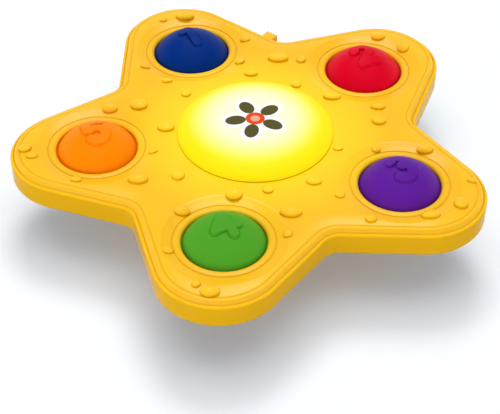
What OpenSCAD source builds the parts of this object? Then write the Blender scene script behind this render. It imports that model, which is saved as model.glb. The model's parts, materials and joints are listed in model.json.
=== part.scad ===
// Musical star toy on a suction cup.
// Five sprung buttons stand round a lit lens, and a slide switch sits in the side wall.
// The first arm points along +Y, the others follow clockwise, and the cup's rim rests on z = 0.

/* [Star outline] */
// Distance from the centre to each button
button_circle_r = 66; // [62:0.5:70]
// Distance from the centre to the middle of each rounded arm end
tip_centre_r = 75.4; // [72:0.1:80]
// Radius of each rounded arm end at the outer wall
tip_r = 26.3; // [24:0.1:29]
// Distance from the centre to the corner of each valley
valley_r = 67.6; // [65:0.1:72]
// Fillet radius in each valley
valley_fillet = 8; // [5:0.5:12]

/* [Casing] */
// Thickness of the tub's wall
wall = 2.4; // [2.2:0.1:3]
// Thickness of the tub's and the drum's floor
floor_t = 2; // [1.8:0.1:2.6]
// Height of the tub's outer wall
wall_h = 9.9; // [9.6:0.1:13]
// Width of the ledge that shows outside the lid
ledge_w = 1; // [0.8:0.1:1.6]
// Height of the top face above the ledge
lid_h = 2.2; // [2:0.1:3]
// Thickness of the lid's top plate
plate_t = 2.6; // [2.4:0.1:3]
// Rounding of the lid's lip
lip_r = 1.8; // [1:0.1:1.9]
// Rounding of the ledge
ledge_round = 0.9; // [0.5:0.1:1.2]
// Rounding of the tub's bottom edge
base_round = 1; // [0.6:0.1:2]
// Depth of the lid's tongue inside the tub
tongue_h = 2; // [1.5:0.1:2.5]
// Thickness of the lid's tongue
tongue_t = 1.4; // [1.2:0.1:1.6]
// Radius of the base drum
drum_r = 50; // [49:0.5:53]

/* [Clearances] */
// Gap between fixed parts that slot together
fit = 0.1; // [0.05:0.01:0.2]
// Gap round moving parts
gap = 0.4; // [0.3:0.05:0.5]

/* [Buttons] */
// Radius of the button holes
hole_r = 16.7; // [15.5:0.1:17.5]
// Width of the raised collar round each hole
collar_w = 3.7; // [3:0.1:4.2]
// Rounding of the collar
collar_round = 0.9; // [0.5:0.1:1.2]
// Radius of the shallow dish round each collar
dish_r = 25.5; // [24:0.1:26]
// Depth of the collars' rims below the top face
collar_drop = 1; // [0.6:0.1:1.1]
// Rise of the collar's rim above the dish
collar_rise = 0.25; // [0.2:0.05:0.4]
// Height of the dome above its foot
dome_h = 9.6; // [7:0.1:11]
// Depth of the dome's foot below the collar's rim
dome_recess = 1.3; // [0.8:0.1:1.8]
// Wall of the cap
cap_wall = 1.8; // [1.4:0.1:2.2]
// Reach of the retaining flange past the cap's side
flange_reach = 2.3; // [1.8:0.1:2.6]
// Thickness of the retaining flange
flange_t = 1.4; // [1:0.1:1.6]
// Radius of the post that presses the pad
plunger_r = 3.5; // [2.5:0.1:4]
// Wall of the tube that guides the flange
guide_t = 1.2; // [1:0.1:1.5]
// Radius of the pad's foot
pad_r = 9; // [8:0.1:9.5]
// Thickness of the pad's skin
pad_t = 1; // [0.8:0.1:1.2]

/* [Light] */
// Radius of the lens opening
lens_hole_r = 32.8; // [30:0.1:33.5]
// Height of the lens dome above its rim
lens_dome_h = 7; // [5:0.1:9]
// Wall of the lens
lens_t = 1.8; // [1.5:0.1:2.2]
// Reach of the flange that holds the lens under the lid
lens_flange = 3.2; // [2.4:0.1:3.3]
// Thickness of that flange
lens_flange_t = 1.5; // [1.2:0.1:1.8]
// Radius of the reflector's foot
reflector_foot_r = 13; // [11:0.5:15]
// Wall of the reflector
reflector_t = 1; // [0.8:0.1:1.2]
// Radius of a diode
led_r = 2.5; // [1.5:0.1:2.5]
// Height of a diode
led_h = 8; // [6:0.1:8.6]
// Distance of the diodes from the centre
led_circle_r = 7; // [6:0.1:8]

/* [Boards] */
// Thickness of the circuit boards
board_t = 1.6; // [1.2:0.1:1.6]
// Radius of the main board
board_r = 42; // [41.8:0.1:43]
// Radius of an arm board
arm_board_r = 14; // [12.5:0.1:14.5]
// Height of the seats under the arm boards
seat_h = 0.7; // [0.5:0.1:1.2]
// Width of a ribbon
ribbon_w = 8; // [6:0.1:9]
// Thickness of a ribbon
ribbon_t = 0.8; // [0.6:0.1:0.9]
// Radius of the sound chip's cover
chip_r = 5; // [4:0.1:6]
// Height of the sound chip's cover
chip_h = 1.2; // [0.8:0.1:1.4]
// Radius of a capacitor
capacitor_r = 2.5; // [2:0.1:3]
// Height of a capacitor
capacitor_h = 6; // [5:0.1:7]
// Radius of the leads
lead_r = 0.7; // [0.5:0.1:0.8]

/* [Power] */
// Diameter of an AAA cell
cell_d = 10.5; // [10.2:0.1:10.8]
// Length of an AAA cell with its nub
cell_len = 44.5; // [44:0.1:45]
// Radius of a cell's nub
nub_r = 1.9; // [1.6:0.1:2.2]
// Length of a cell's nub
nub_h = 1; // [0.8:0.1:1.2]
// Room round a cell
cell_clear = 0.4; // [0.3:0.05:0.6]
// Room for a spring at the end of a cell
spring_room = 5; // [4:0.1:6]
// Thickness of the contact plates
contact_t = 0.4; // [0.3:0.05:0.5]
// Walls of the battery bay
bay_wall = 1.4; // [1.2:0.1:1.6]
// Room between the battery bay and the main board
board_gap = 2.5; // [2.3:0.1:4]
// Thickness of the door's outer plate
door_t = 1.2; // [1:0.1:1.4]
// Width of the ledge that the door lies on
door_lap = 2; // [1.5:0.1:2.5]
// Length of the door's screw ear
door_ear = 9; // [8:0.1:10]

/* [Speaker] */
// Radius of the speaker
speaker_r = 14; // [12:0.1:14.5]
// Height of the speaker with its magnet
speaker_h = 6.5; // [5.5:0.1:7]
// Thickness of the speaker's rim
speaker_rim_t = 1; // [0.8:0.1:1.2]
// Radius of the magnet
magnet_r = 7.5; // [6:0.1:8]
// Thickness of the magnet
magnet_t = 2.5; // [2:0.1:3]
// Radius of a grille hole
grille_r = 1.1; // [0.8:0.1:1.2]

/* [Screws] */
// Radius of a case screw's shank
screw_r = 1.3; // [1.1:0.05:1.4]
// Radius of a case screw's head
screw_head_r = 2.6; // [2.3:0.1:2.8]
// Height of a case screw's head
screw_head_h = 1.8; // [1.4:0.1:2]
// Depth of the counterbores under the tub
screw_sink = 2.8; // [2.4:0.1:3]
// Thickness under a case screw's head
screw_seat_t = 2; // [1.6:0.1:2.2]
// Grip of the case screws in the lid
screw_grip = 4; // [3:0.1:4.2]
// Wall round a case screw
screw_wall = 1.3; // [1:0.1:1.4]
// Radius of a small screw's shank
small_screw_r = 0.9; // [0.8:0.05:1]
// Radius of a small screw's head
small_head_r = 2.1; // [1.8:0.1:2.2]
// Height of a small screw's head
small_head_h = 1.2; // [1:0.1:1.3]
// Grip of the small screws
small_screw_grip = 4; // [3:0.1:4.5]
// Wall round a small screw
small_wall = 1.4; // [1.2:0.1:1.5]

/* [Switch] */
// Distance of the knob from the valley's corner
switch_from_valley = 9; // [8:0.1:12]
// Travel of the knob
switch_travel = 6; // [4:0.1:7]
// Length of the knob
knob_len = 5.5; // [4:0.1:6]
// Height of the knob
knob_h = 4; // [3.5:0.1:4.2]
// Reach of the knob outside the wall
knob_out = 4.9; // [3:0.1:5.5]
// Reach of the knob's inner flange past its sides
knob_flange = 2.5; // [2:0.1:3]
// Thickness of the knob's inner flange
knob_flange_t = 1; // [0.8:0.1:1.2]
// Section of the stem that drives the switch
stem = 2; // [1.6:0.1:2.2]
// Depth of the switch body
switch_d = 5; // [4.5:0.1:5.4]

/* [Suction cup] */
// Height of the drum above the surface below the cup
cup_h = 13; // [12:0.5:16]
// Radius of the cup's rim
cup_r = 39; // [36:0.5:42]
// Width of the flat sealing band round the rim
seal_w = 3; // [2:0.1:4]
// Height of the outside of the rim
rim_h = 1; // [0.8:0.1:1.6]
// Height of the hollow under the cup
hollow_h = 7; // [5:0.1:8]
// Thickness of the cup's crown
crown_t = 3.5; // [2.5:0.1:4]
// Radius of the neck
neck_r = 12; // [11:0.1:14]
// Radius of the stem through the drum's floor
plug_r = 7; // [6:0.1:7.5]
// Radius of the plug's head
plug_head_r = 9.5; // [8.5:0.1:10]
// Height of the plug's head
plug_head_h = 4; // [3:0.1:4.5]
// Length of the release tab
tab_len = 8; // [6:0.5:10]
// Width of the release tab
tab_w = 12; // [9:0.5:16]
// Thickness of the release tab
tab_t = 1.6; // [1.2:0.1:2]

/* [Hidden] */
$fn = 96;
// Facets of the wide, shallow curves
wide_fn = 240;
// Overshoot of a cut past the face that it opens
over = 1;
// Depth to which joined shapes run into each other
lap = 0.2;
// Depth to which the star's arcs cross its straight sides, where they would otherwise only touch
seam = 0.02;
// Layers in a rounded star edge, and steps along a curved profile
edge_layers = 4;
arc_steps = 10;

shell_yellow = [1, 0.77, 0.1];
button_colours = [
  [0.02, 0.15, 0.55], [0.85, 0.02, 0.1], [0.4, 0.15, 0.62], [0.3, 0.62, 0.18], [0.97, 0.5, 0.05]
];
board_green = [0.1, 0.4, 0.2];
steel_grey = [0.7, 0.7, 0.72];

// Arms and valleys
arms = 5;
arm_step = 360 / arms;
half_step = arm_step / 2;
valley_to_tip = norm([tip_centre_r - valley_r * cos(half_step), valley_r * sin(half_step)]);
valley_to_tip_a = atan2(valley_r * sin(half_step), tip_centre_r - valley_r * cos(half_step));
flank_a = valley_to_tip_a - asin(tip_r / valley_to_tip);
flank_d = tip_centre_r * sin(flank_a) + tip_r;
notch_half = half_step + flank_a;
valley_centre = valley_r + valley_fillet / sin(notch_half);
flank_tip_x = tip_centre_r * cos(flank_a);
corner_x = valley_r * cos(notch_half);
flank_valley_x = corner_x + valley_fillet / tan(notch_half);

// Heights, from the cup's rim up
z_drum = cup_h;
z_drum_floor = z_drum + floor_t;
cell_z = z_drum_floor + cell_clear + cell_d / 2;
z_bay_top = cell_z + cell_d / 2 + cell_clear;
z_board = z_bay_top + bay_wall + board_gap;
z_board_top = z_board + board_t;
z_floor = z_board - seat_h;
z_tub = z_floor - floor_t;
z_ledge = z_tub + wall_h;
z_field = z_ledge + lid_h;
z_rim = z_field - collar_drop;
z_under = z_field - plate_t;
z_reflector = z_under - lens_flange_t;

// The lid's edge
tongue_out = wall + fit;
tongue_in = tongue_out + tongue_t;

// Buttons
cap_r = hole_r - gap;
flange_r = cap_r + flange_reach;
collar_r = hole_r + collar_w;
dish_depth = collar_drop + collar_rise;
z_dome = z_rim - dome_recess;
dome_sphere_r = (pow(cap_r, 2) + pow(dome_h, 2)) / (2 * dome_h);
z_dome_centre = z_dome + dome_h - dome_sphere_r;
z_flange = z_under - gap - flange_t;
guide_r = flange_r + gap;
z_guide = z_board_top + ribbon_t + gap;
pad_h = z_flange - fit - z_board_top;

// Light
lens_r = lens_hole_r - fit;
lens_flange_r = lens_hole_r + lens_flange;
lens_sphere_r = (pow(lens_r, 2) + pow(lens_dome_h, 2)) / (2 * lens_dome_h);
z_lens_centre = z_field + lens_dome_h - lens_sphere_r;

// Screws
case_boss_r = screw_r + screw_wall + fit;
case_tube_r = screw_head_r + screw_wall + fit;
z_boss = z_tub + screw_sink + screw_seat_t;
arm_screw_r = (button_circle_r + guide_r + guide_t + tip_centre_r + tip_r - tongue_in) / 2;
valley_screw_r = valley_centre - valley_fillet - tongue_in - case_tube_r - fit;
small_boss_r = small_screw_r + small_wall + fit;
board_screw_r = lens_flange_r + fit + small_boss_r;

// Battery bay
bay_len = cell_len + spring_room + 2 * contact_t + cell_clear;
bay_w = 2 * cell_d + 3 * cell_clear;
bay_y = -(plug_head_r + bay_wall + bay_w / 2 + cell_clear);
cell_offset = (cell_d + cell_clear) / 2;
cell_x = (bay_len - 2 * contact_t - cell_len - cell_clear) / 2;
ear_x = bay_len / 2 + door_lap;
door_screw_x = ear_x + door_ear / 2;
// Speaker
speaker_y = plug_head_r + speaker_r + small_boss_r + 2 * fit;
speaker_screw_x = speaker_r + 2 * fit + small_boss_r;
speaker_screw_skin = 0.6;
speaker_screw_grip = floor_t - speaker_screw_skin;
speaker_sheet_t = speaker_rim_t / 2;
z_speaker_rim = z_drum_floor + speaker_rim_t;
z_magnet = z_drum_floor + speaker_h - magnet_t;
z_coil = z_magnet - speaker_sheet_t - speaker_rim_t;
speaker_mouth_r = speaker_r - 3 * speaker_rim_t;

// Switch
switch_x = corner_x + switch_from_valley;
switch_mid_x = switch_x + switch_travel / 2;
knob_room = knob_len + switch_travel + 2 * gap;
z_knob = z_under - gap - knob_h;
z_stem = z_knob + knob_h / 2;
knob_flange_y = wall + gap;
switch_y = knob_flange_y + knob_flange_t + gap;
switch_len = switch_travel + 3 * stem + 4 * gap;
stem_depth = stem;

// Suction cup
cup_inner_r = cup_r - seal_w;
hollow_sphere_r = (pow(cup_inner_r, 2) + pow(hollow_h, 2)) / (2 * hollow_h);
crown_h = hollow_h + crown_t - rim_h;
crown_sphere_r = (pow(cup_r, 2) + pow(crown_h, 2)) / (2 * crown_h);

function turned(a, x, y) = [x * cos(a) - y * sin(a), x * sin(a) + y * cos(a)];
function arc_points(centre_z, r, from, to) =
  [for (k = [0 : arc_steps])
    let (a = from + (to - from) * k / arc_steps) [r * sin(a), centre_z + r * cos(a)]];
function corner_points(x, z, r, from) =
  [for (k = [0 : edge_layers]) let (a = from + 90 * k / edge_layers) [x + r * cos(a), z + r * sin(a)]];
function arm_angle(arm) = 90 - arm * arm_step;

// Placing
module on_arm(arm) {
  rotate(arm_angle(arm)) children();
}

module on_arms() {
  for (arm = [0 : arms - 1]) on_arm(arm) children();
}

module on_valleys() {
  for (arm = [0 : arms - 1]) on_arm(arm + 0.5) children();
}

module at_button(arm) {
  on_arm(arm) translate([button_circle_r, 0, 0]) children();
}

// Frame of the first arm's clockwise flank: x along the wall to the tip, y into the casing
module on_switch_flank() {
  rotate(arm_angle(0) + flank_a) translate([0, -flank_d, 0]) children();
}

// Star outline, drawn in from the outer wall
module star_2d(inset = 0) {
  side_d = flank_d - inset - seam;
  difference() {
    union() {
      polygon([
        for (k = [0 : arms - 1])
          for (p = [[1, flank_valley_x], [1, flank_tip_x], [-1, flank_tip_x], [-1, flank_valley_x]])
            turned(90 + k * arm_step + p[0] * flank_a, p[1], -p[0] * side_d)
      ]);
      on_arms() translate([tip_centre_r, 0]) circle(tip_r - inset);
    }
    on_valleys() translate([valley_centre, 0]) circle(valley_fillet + inset + 2 * seam);
  }
}

// Star slab whose lower and upper edges are rounded in thin layers
module star_slab(z_low, z_high, inset, round_low, round_high) {
  translate([0, 0, z_low + round_low])
    linear_extrude(z_high - z_low - round_low - round_high) star_2d(inset);
  if (round_low > 0) translate([0, 0, z_low + round_low]) mirror([0, 0, 1]) star_round(inset, round_low);
  if (round_high > 0) translate([0, 0, z_high - round_high]) star_round(inset, round_high);
}

// Layers that follow a quarter circle from the foot up, each lapping into the slab below
module star_round(inset, r) {
  for (k = [1 : edge_layers])
    translate([0, 0, -lap])
      linear_extrude(lap + r * sin(90 * k / edge_layers))
        star_2d(inset + r * (1 - cos(90 * (k - 0.5) / edge_layers)));
}

// Cuts for the knob: its notch in the tub's wall, and the room for its flange behind the wall
module switch_notch(length, y, depth, z_high) {
  on_switch_flank()
    translate([switch_mid_x - length / 2, y, z_knob - gap])
      cube([length, depth, z_high - z_knob + gap]);
}

// Lid
module button_dish() {
  slope = dish_depth / (dish_r - collar_r);
  foot_r = collar_r - collar_w / 2;
  rotate_extrude()
    polygon([
      [0, z_field - slope * (dish_r - foot_r)], [foot_r, z_field - slope * (dish_r - foot_r)],
      [dish_r + lap / slope, z_field + lap], [0, z_field + lap]
    ]);
}

module button_collar() {
  z_round = z_rim - collar_round;
  rotate_extrude()
    polygon(concat(
      [[hole_r, z_under + lap], [collar_r, z_under + lap]],
      corner_points(collar_r - collar_round, z_round, collar_round, 0),
      corner_points(hole_r + collar_round, z_round, collar_round, 90)
    ));
}

module tube(r_out, r_in, z_low, z_high) {
  translate([0, 0, z_low])
    difference() {
      cylinder(h = z_high - z_low, r = r_out);
      translate([0, 0, -over]) cylinder(h = z_high - z_low + 2 * over, r = r_in);
    }
}

module drill(r, z_low, z_high) {
  translate([0, 0, z_low]) cylinder(h = z_high - z_low, r = r);
}

module lid_plate() {
  difference() {
    union() {
      star_slab(z_ledge, z_field, ledge_w, 0, lip_r);
      translate([0, 0, z_ledge - tongue_h]) linear_extrude(tongue_h + lap) star_2d(tongue_out);
    }
    translate([0, 0, z_ledge - tongue_h - over])
      linear_extrude(z_under - z_ledge + tongue_h + over) star_2d(tongue_in);
    on_arms()
      translate([button_circle_r, 0, 0]) {
        button_dish();
        drill(collar_r - collar_w / 2, z_under - over, z_rim);
      }
    drill(lens_hole_r, z_under - over, z_field + over);
  }
}

module top_shell() {
  color(shell_yellow)
    difference() {
      union() {
        lid_plate();
        on_arms() {
          translate([button_circle_r, 0, 0]) {
            button_collar();
            tube(guide_r + guide_t, guide_r, z_guide, z_under + lap);
          }
          translate([arm_screw_r, 0, 0]) drill(case_boss_r, z_boss, z_under + lap);
        }
        on_valleys() {
          translate([valley_screw_r, 0, 0]) drill(case_boss_r, z_boss, z_under + lap);
          translate([board_screw_r, 0, 0]) drill(small_boss_r, z_board_top, z_under + lap);
        }
      }
      on_arms()
        translate([arm_screw_r, 0, 0]) drill(screw_r + fit, z_boss - over, z_boss + screw_grip + fit);
      on_valleys() {
        translate([valley_screw_r, 0, 0]) drill(screw_r + fit, z_boss - over, z_boss + screw_grip + fit);
        translate([board_screw_r, 0, 0])
          drill(small_screw_r + fit, z_board_top - over, z_board_top + small_screw_grip + fit);
      }
      switch_notch(knob_room + 2 * knob_flange, wall, tongue_t + fit + over, z_ledge);
    }
}

// Tub with the base drum, the battery bay and the seats for what it carries
module bay_block(grow, z_low, z_high) {
  translate([-bay_len / 2 - grow, bay_y - bay_w / 2 - grow, z_low])
    cube([bay_len + 2 * grow, bay_w + 2 * grow, z_high - z_low]);
}

module door_ear_block(shrink, z_low, z_high) {
  translate([ear_x - shrink - over, bay_y - door_ear / 2 + shrink, z_low])
    cube([door_ear + over, door_ear - 2 * shrink, z_high - z_low]);
}

module contact_slots() {
  for (side = [-1, 1])
    translate([bay_len / 2 - contact_t - fit, bay_y + side * cell_offset - lead_r - fit, z_bay_top - over])
      cube([contact_t + fit, 2 * (lead_r + fit), bay_wall + 2 * over]);
}

module grille_cuts() {
  rings = 2;
  per_ring = 6;
  pitch = 3 * grille_r;
  drill(grille_r, z_drum - over, z_drum_floor + over);
  for (ring = [1 : rings])
    for (k = [1 : ring * per_ring])
      rotate(k * 360 / (ring * per_ring))
        translate([ring * pitch, 0, 0]) drill(grille_r, z_drum - over, z_drum_floor + over);
}

module screw_tube() {
  drill(case_tube_r, z_floor - lap, z_boss);
}

module screw_cut() {
  drill(screw_r + fit, z_tub, z_boss + over);
  drill(screw_head_r + fit, z_tub - over, z_tub + screw_sink);
}

module bottom_shell() {
  color(shell_yellow)
    difference() {
      union() {
        difference() {
          union() {
            star_slab(z_tub, z_ledge, 0, base_round, ledge_round);
            drill(drum_r, z_drum, z_floor);
          }
          translate([0, 0, z_floor]) linear_extrude(wall_h) star_2d(wall);
          drill(drum_r - wall, z_drum_floor, z_floor + over);
        }
        on_arms() {
          translate([button_circle_r, 0, 0])
            tube(arm_board_r - seat_h, arm_board_r - wall, z_floor - lap, z_board);
          translate([arm_screw_r, 0, 0]) screw_tube();
        }
        on_valleys() translate([valley_screw_r, 0, 0]) screw_tube();
        bay_block(bay_wall, z_drum_floor - lap, z_bay_top + bay_wall);
        translate([door_screw_x, bay_y, 0])
          drill(small_boss_r, z_drum_floor - lap, z_drum_floor + small_screw_grip);
        translate([0, speaker_y, 0]) {
          tube(speaker_r + small_wall + fit, speaker_r + fit, z_drum_floor - lap, z_speaker_rim);
          for (side = [-1, 1])
            translate([side * speaker_screw_x, 0, 0])
              drill(small_boss_r, z_drum_floor - lap, z_speaker_rim);
        }
      }
      on_arms() translate([arm_screw_r, 0, 0]) screw_cut();
      on_valleys() translate([valley_screw_r, 0, 0]) screw_cut();
      bay_block(0, z_drum - over, z_bay_top);
      bay_block(door_lap, z_drum - over, z_drum + door_t);
      door_ear_block(0, z_drum - over, z_drum + door_t);
      contact_slots();
      translate([door_screw_x, bay_y, 0])
        drill(small_screw_r + fit, z_drum, z_drum_floor + small_screw_grip - fit);
      translate([0, speaker_y, 0]) {
        grille_cuts();
        for (side = [-1, 1])
          translate([side * speaker_screw_x, 0, 0])
            drill(small_screw_r + fit, z_drum_floor - speaker_screw_grip, z_speaker_rim + over);
      }
      drill(plug_r + fit, z_drum - over, z_drum_floor + over);
      switch_notch(knob_room, -over, wall + 2 * over, z_ledge + over);
    }
}

// Light
module light_lens() {
  color([1, 0.96, 0.6])
    rotate_extrude() {
      difference() {
        intersection() {
          translate([0, z_lens_centre]) circle(lens_sphere_r, $fn = wide_fn);
          translate([0, z_field]) square([lens_r, lens_dome_h + over]);
        }
        translate([0, z_lens_centre]) circle(lens_sphere_r - lens_t, $fn = wide_fn);
      }
      translate([lens_r - lens_t, z_reflector]) square([lens_t, z_field - z_reflector]);
      translate([lens_r - lens_t, z_reflector]) square([lens_flange_r - lens_r + lens_t, lens_flange_t]);
    }
}

module light_reflector() {
  lip_in_r = lens_r - lens_t;
  color("white")
    rotate_extrude()
      polygon([
        [reflector_foot_r - reflector_t, z_board_top], [reflector_foot_r, z_board_top],
        [lip_in_r, z_reflector - reflector_t], [lens_flange_r, z_reflector - reflector_t],
        [lens_flange_r, z_reflector], [lip_in_r - reflector_t, z_reflector]
      ]);
}

module leds() {
  led_count = 4;
  led_foot_h = 1;
  color([1, 1, 0.85])
    for (k = [0 : led_count - 1])
      rotate(k * 360 / led_count)
        translate([led_circle_r, 0, z_board_top]) {
          cylinder(h = led_foot_h, r = led_r + led_foot_h / 3);
          cylinder(h = led_h - led_r, r = led_r);
          translate([0, 0, led_h - led_r]) sphere(led_r);
        }
}

// Sprung button caps
module dome(r_sphere, z_foot) {
  intersection() {
    translate([0, 0, z_dome_centre]) sphere(r_sphere);
    drill(cap_r, z_foot, z_dome + dome_h + over);
  }
}

module button_cap(arm) {
  color(button_colours[arm])
    translate([each turned(arm_angle(arm), button_circle_r, 0), 0]) {
      difference() {
        union() {
          dome(dome_sphere_r, z_dome);
          drill(cap_r, z_flange, z_dome);
          drill(flange_r, z_flange, z_flange + flange_t);
        }
        intersection() {
          translate([0, 0, z_dome_centre]) sphere(dome_sphere_r - cap_wall);
          drill(cap_r - cap_wall, z_dome, z_dome + dome_h);
        }
        drill(cap_r - cap_wall, z_flange - over, z_dome);
      }
      drill(plunger_r, z_flange, z_dome + dome_h - cap_wall / 2);
    }
}

module button_pad(arm) {
  color([0.85, 0.85, 0.85])
    at_button(arm)
      translate([0, 0, z_board_top])
        rotate_extrude()
          polygon([
            [0, pad_h], [plunger_r, pad_h], [plunger_r, pad_h - pad_t], [pad_r - 2 * pad_t, pad_t],
            [pad_r, pad_t], [pad_r, 0], [pad_r - 3 * pad_t, 0],
            [plunger_r - pad_t, pad_h - 2 * pad_t], [0, pad_h - 2 * pad_t]
          ]);
}

// Boards and what is soldered to them
module arm_board(arm) {
  color(board_green) at_button(arm) drill(arm_board_r, z_board, z_board_top);
}

module arm_ribbons() {
  ribbon_start = board_r - ribbon_w / 2;
  color([0.75, 0.75, 0.78])
    on_arms()
      translate([ribbon_start, -ribbon_w / 2, z_board_top])
        cube([button_circle_r - pad_r - gap - ribbon_start, ribbon_w, ribbon_t]);
}

module switch_envelope() {
  on_switch_flank()
    translate([switch_mid_x - switch_len / 2, switch_y, z_floor])
      cube([switch_len, switch_d, z_stem + stem - z_floor]);
}

module switch_ribbon() {
  foot = turned(arm_angle(0) + flank_a, switch_mid_x, switch_y + switch_d / 2 - flank_d);
  foot_r = norm(foot);
  strip_w = ribbon_w / 2;
  ribbon_start = board_r - ribbon_w;
  color([0.75, 0.75, 0.78])
    difference() {
      rotate(atan2(foot[1], foot[0]))
        translate([ribbon_start, -strip_w / 2, z_board_top])
          cube([foot_r - ribbon_start, strip_w, ribbon_t]);
      switch_envelope();
    }
}

module main_board() {
  color(board_green)
    difference() {
      drill(board_r, z_board, z_board_top);
      on_valleys()
        translate([board_screw_r, 0, 0]) drill(small_screw_r + fit, z_board - over, z_board_top + over);
    }
}

module sound_chip() {
  chip_sphere_r = (pow(chip_r, 2) + pow(chip_h, 2)) / (2 * chip_h);
  color([0.08, 0.08, 0.08])
    translate([-board_r / 2, chip_r, z_board])
      mirror([0, 0, 1])
        rotate_extrude()
          intersection() {
            translate([0, chip_h - chip_sphere_r]) circle(chip_sphere_r);
            square([chip_r, chip_h]);
          }
}

module capacitors() {
  capacitor_count = 3;
  color([0.1, 0.1, 0.3])
    for (k = [0 : capacitor_count - 1])
      translate([board_r / 2 + k * (2 * capacitor_r + gap), 2 * capacitor_r, 0])
        drill(capacitor_r, z_board - capacitor_h, z_board);
}

// Speaker, facing down over the grille
module speaker_frame() {
  color(steel_grey)
    translate([0, speaker_y, 0])
      rotate_extrude()
        polygon([
          [speaker_mouth_r, z_drum_floor], [speaker_r, z_drum_floor], [speaker_r, z_speaker_rim],
          [speaker_mouth_r + speaker_sheet_t, z_speaker_rim], [magnet_r, z_magnet], [0, z_magnet],
          [0, z_magnet - speaker_sheet_t], [magnet_r - speaker_rim_t, z_magnet - speaker_sheet_t],
          [speaker_mouth_r, z_speaker_rim]
        ]);
}

module speaker_cone() {
  cone_r = speaker_mouth_r - fit;
  coil_r = magnet_r / 2;
  color([0.12, 0.12, 0.12])
    translate([0, speaker_y, 0])
      rotate_extrude()
        polygon([
          [cone_r - speaker_sheet_t, z_drum_floor], [cone_r, z_drum_floor],
          [cone_r, z_drum_floor + speaker_sheet_t], [coil_r, z_coil], [0, z_coil],
          [0, z_coil - speaker_sheet_t], [coil_r - speaker_sheet_t, z_coil - speaker_sheet_t]
        ]);
}

module speaker_magnet() {
  color(steel_grey) translate([0, speaker_y, 0]) drill(magnet_r, z_magnet, z_magnet + magnet_t);
}

module speaker_leads() {
  lead_y = speaker_y - speaker_r + 2 * lead_r;
  color([0.8, 0.1, 0.1])
    for (side = [-1, 1])
      translate([side * 3 * lead_r, lead_y, 0]) drill(lead_r, z_speaker_rim, z_board);
}

// Screws, head down, with a cross recess in the head
module screw(shank_r, head_r, head_h, z_seat, grip) {
  slot_w = head_r / 4;
  slot_len = 5 * slot_w;
  difference() {
    union() {
      drill(head_r, z_seat - head_h, z_seat);
      drill(shank_r, z_seat - head_h / 2, z_seat + grip);
    }
    for (a = [0, 90])
      rotate(a)
        translate([-slot_len / 2, -slot_w / 2, z_seat - head_h - over])
          cube([slot_len, slot_w, over + head_h / 2]);
  }
}

module case_screws() {
  color(steel_grey) {
    on_arms() translate([arm_screw_r, 0, 0])
      screw(screw_r, screw_head_r, screw_head_h, z_tub + screw_sink, screw_seat_t + screw_grip);
    on_valleys() translate([valley_screw_r, 0, 0])
      screw(screw_r, screw_head_r, screw_head_h, z_tub + screw_sink, screw_seat_t + screw_grip);
  }
}

module board_screws() {
  color(steel_grey)
    on_valleys() translate([board_screw_r, 0, 0])
      screw(small_screw_r, small_head_r, small_head_h, z_board, board_t + small_screw_grip);
}

module speaker_screws() {
  color(steel_grey)
    for (side = [-1, 1])
      translate([side * speaker_screw_x, speaker_y, 2 * z_speaker_rim])
        mirror([0, 0, 1])
          screw(small_screw_r, small_head_r + small_wall, small_head_h, z_speaker_rim,
                speaker_rim_t + speaker_screw_grip - fit);
}

module battery_door_screw() {
  color(steel_grey)
    translate([door_screw_x, bay_y, 0])
      screw(small_screw_r, small_head_r, small_head_h, z_drum, floor_t + small_screw_grip - 2 * fit);
}

// Cells lie side by side, nose to tail
module battery(side) {
  color([0.85, 0.6, 0.25])
    translate([0, bay_y + side * cell_offset, cell_z])
      mirror([side < 0 ? 1 : 0, 0, 0])
        translate([cell_x - cell_len / 2, 0, 0])
          rotate([0, 90, 0]) {
            cylinder(h = cell_len - nub_h, r = cell_d / 2);
            cylinder(h = cell_len, r = nub_r);
          }
}

module battery_contacts() {
  plate_w = cell_d - 2 * cell_clear;
  plate_h = z_bay_top - z_drum_floor - 2 * cell_clear;
  tab_h = bay_wall + 2 * cell_clear;
  color(steel_grey) {
    for (side = [-1, 1])
      translate([bay_len / 2 - contact_t, bay_y + side * cell_offset, 0]) {
        translate([0, -plate_w / 2, z_drum_floor + cell_clear]) cube([contact_t, plate_w, plate_h]);
        translate([0, -lead_r, z_bay_top - cell_clear]) cube([contact_t, 2 * lead_r, tab_h]);
      }
    translate([-bay_len / 2, bay_y - cell_offset - plate_w / 2, z_drum_floor + cell_clear])
      cube([contact_t, plate_w + 2 * cell_offset, plate_h]);
  }
}

module battery_springs() {
  wide_r = cell_d / 2 - 2 * cell_clear;
  spring_t = 2 * contact_t;
  color(steel_grey)
    for (side = [-1, 1])
      translate([-side * (bay_len / 2 - contact_t), bay_y + side * cell_offset, cell_z])
        rotate([0, side * 90, 0])
          rotate_extrude()
            polygon([
              [wide_r - spring_t, 0], [wide_r, 0],
              [wide_r / 2 + spring_t, spring_room], [wide_r / 2, spring_room]
            ]);
}

module battery_leads() {
  z_tab = z_bay_top + bay_wall + cell_clear;
  color([0.8, 0.1, 0.1])
    for (side = [-1, 1])
      translate([bay_len / 2 - contact_t, bay_y + side * cell_offset, 0]) drill(lead_r, z_tab, z_board);
}

module battery_door() {
  color(shell_yellow)
    difference() {
      union() {
        bay_block(door_lap - fit, z_drum, z_drum + door_t - fit);
        bay_block(-fit, z_drum, z_drum_floor);
        door_ear_block(fit, z_drum, z_drum + door_t - fit);
      }
      translate([door_screw_x, bay_y, 0]) drill(small_screw_r + fit, z_drum - over, z_drum_floor + over);
    }
}

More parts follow.
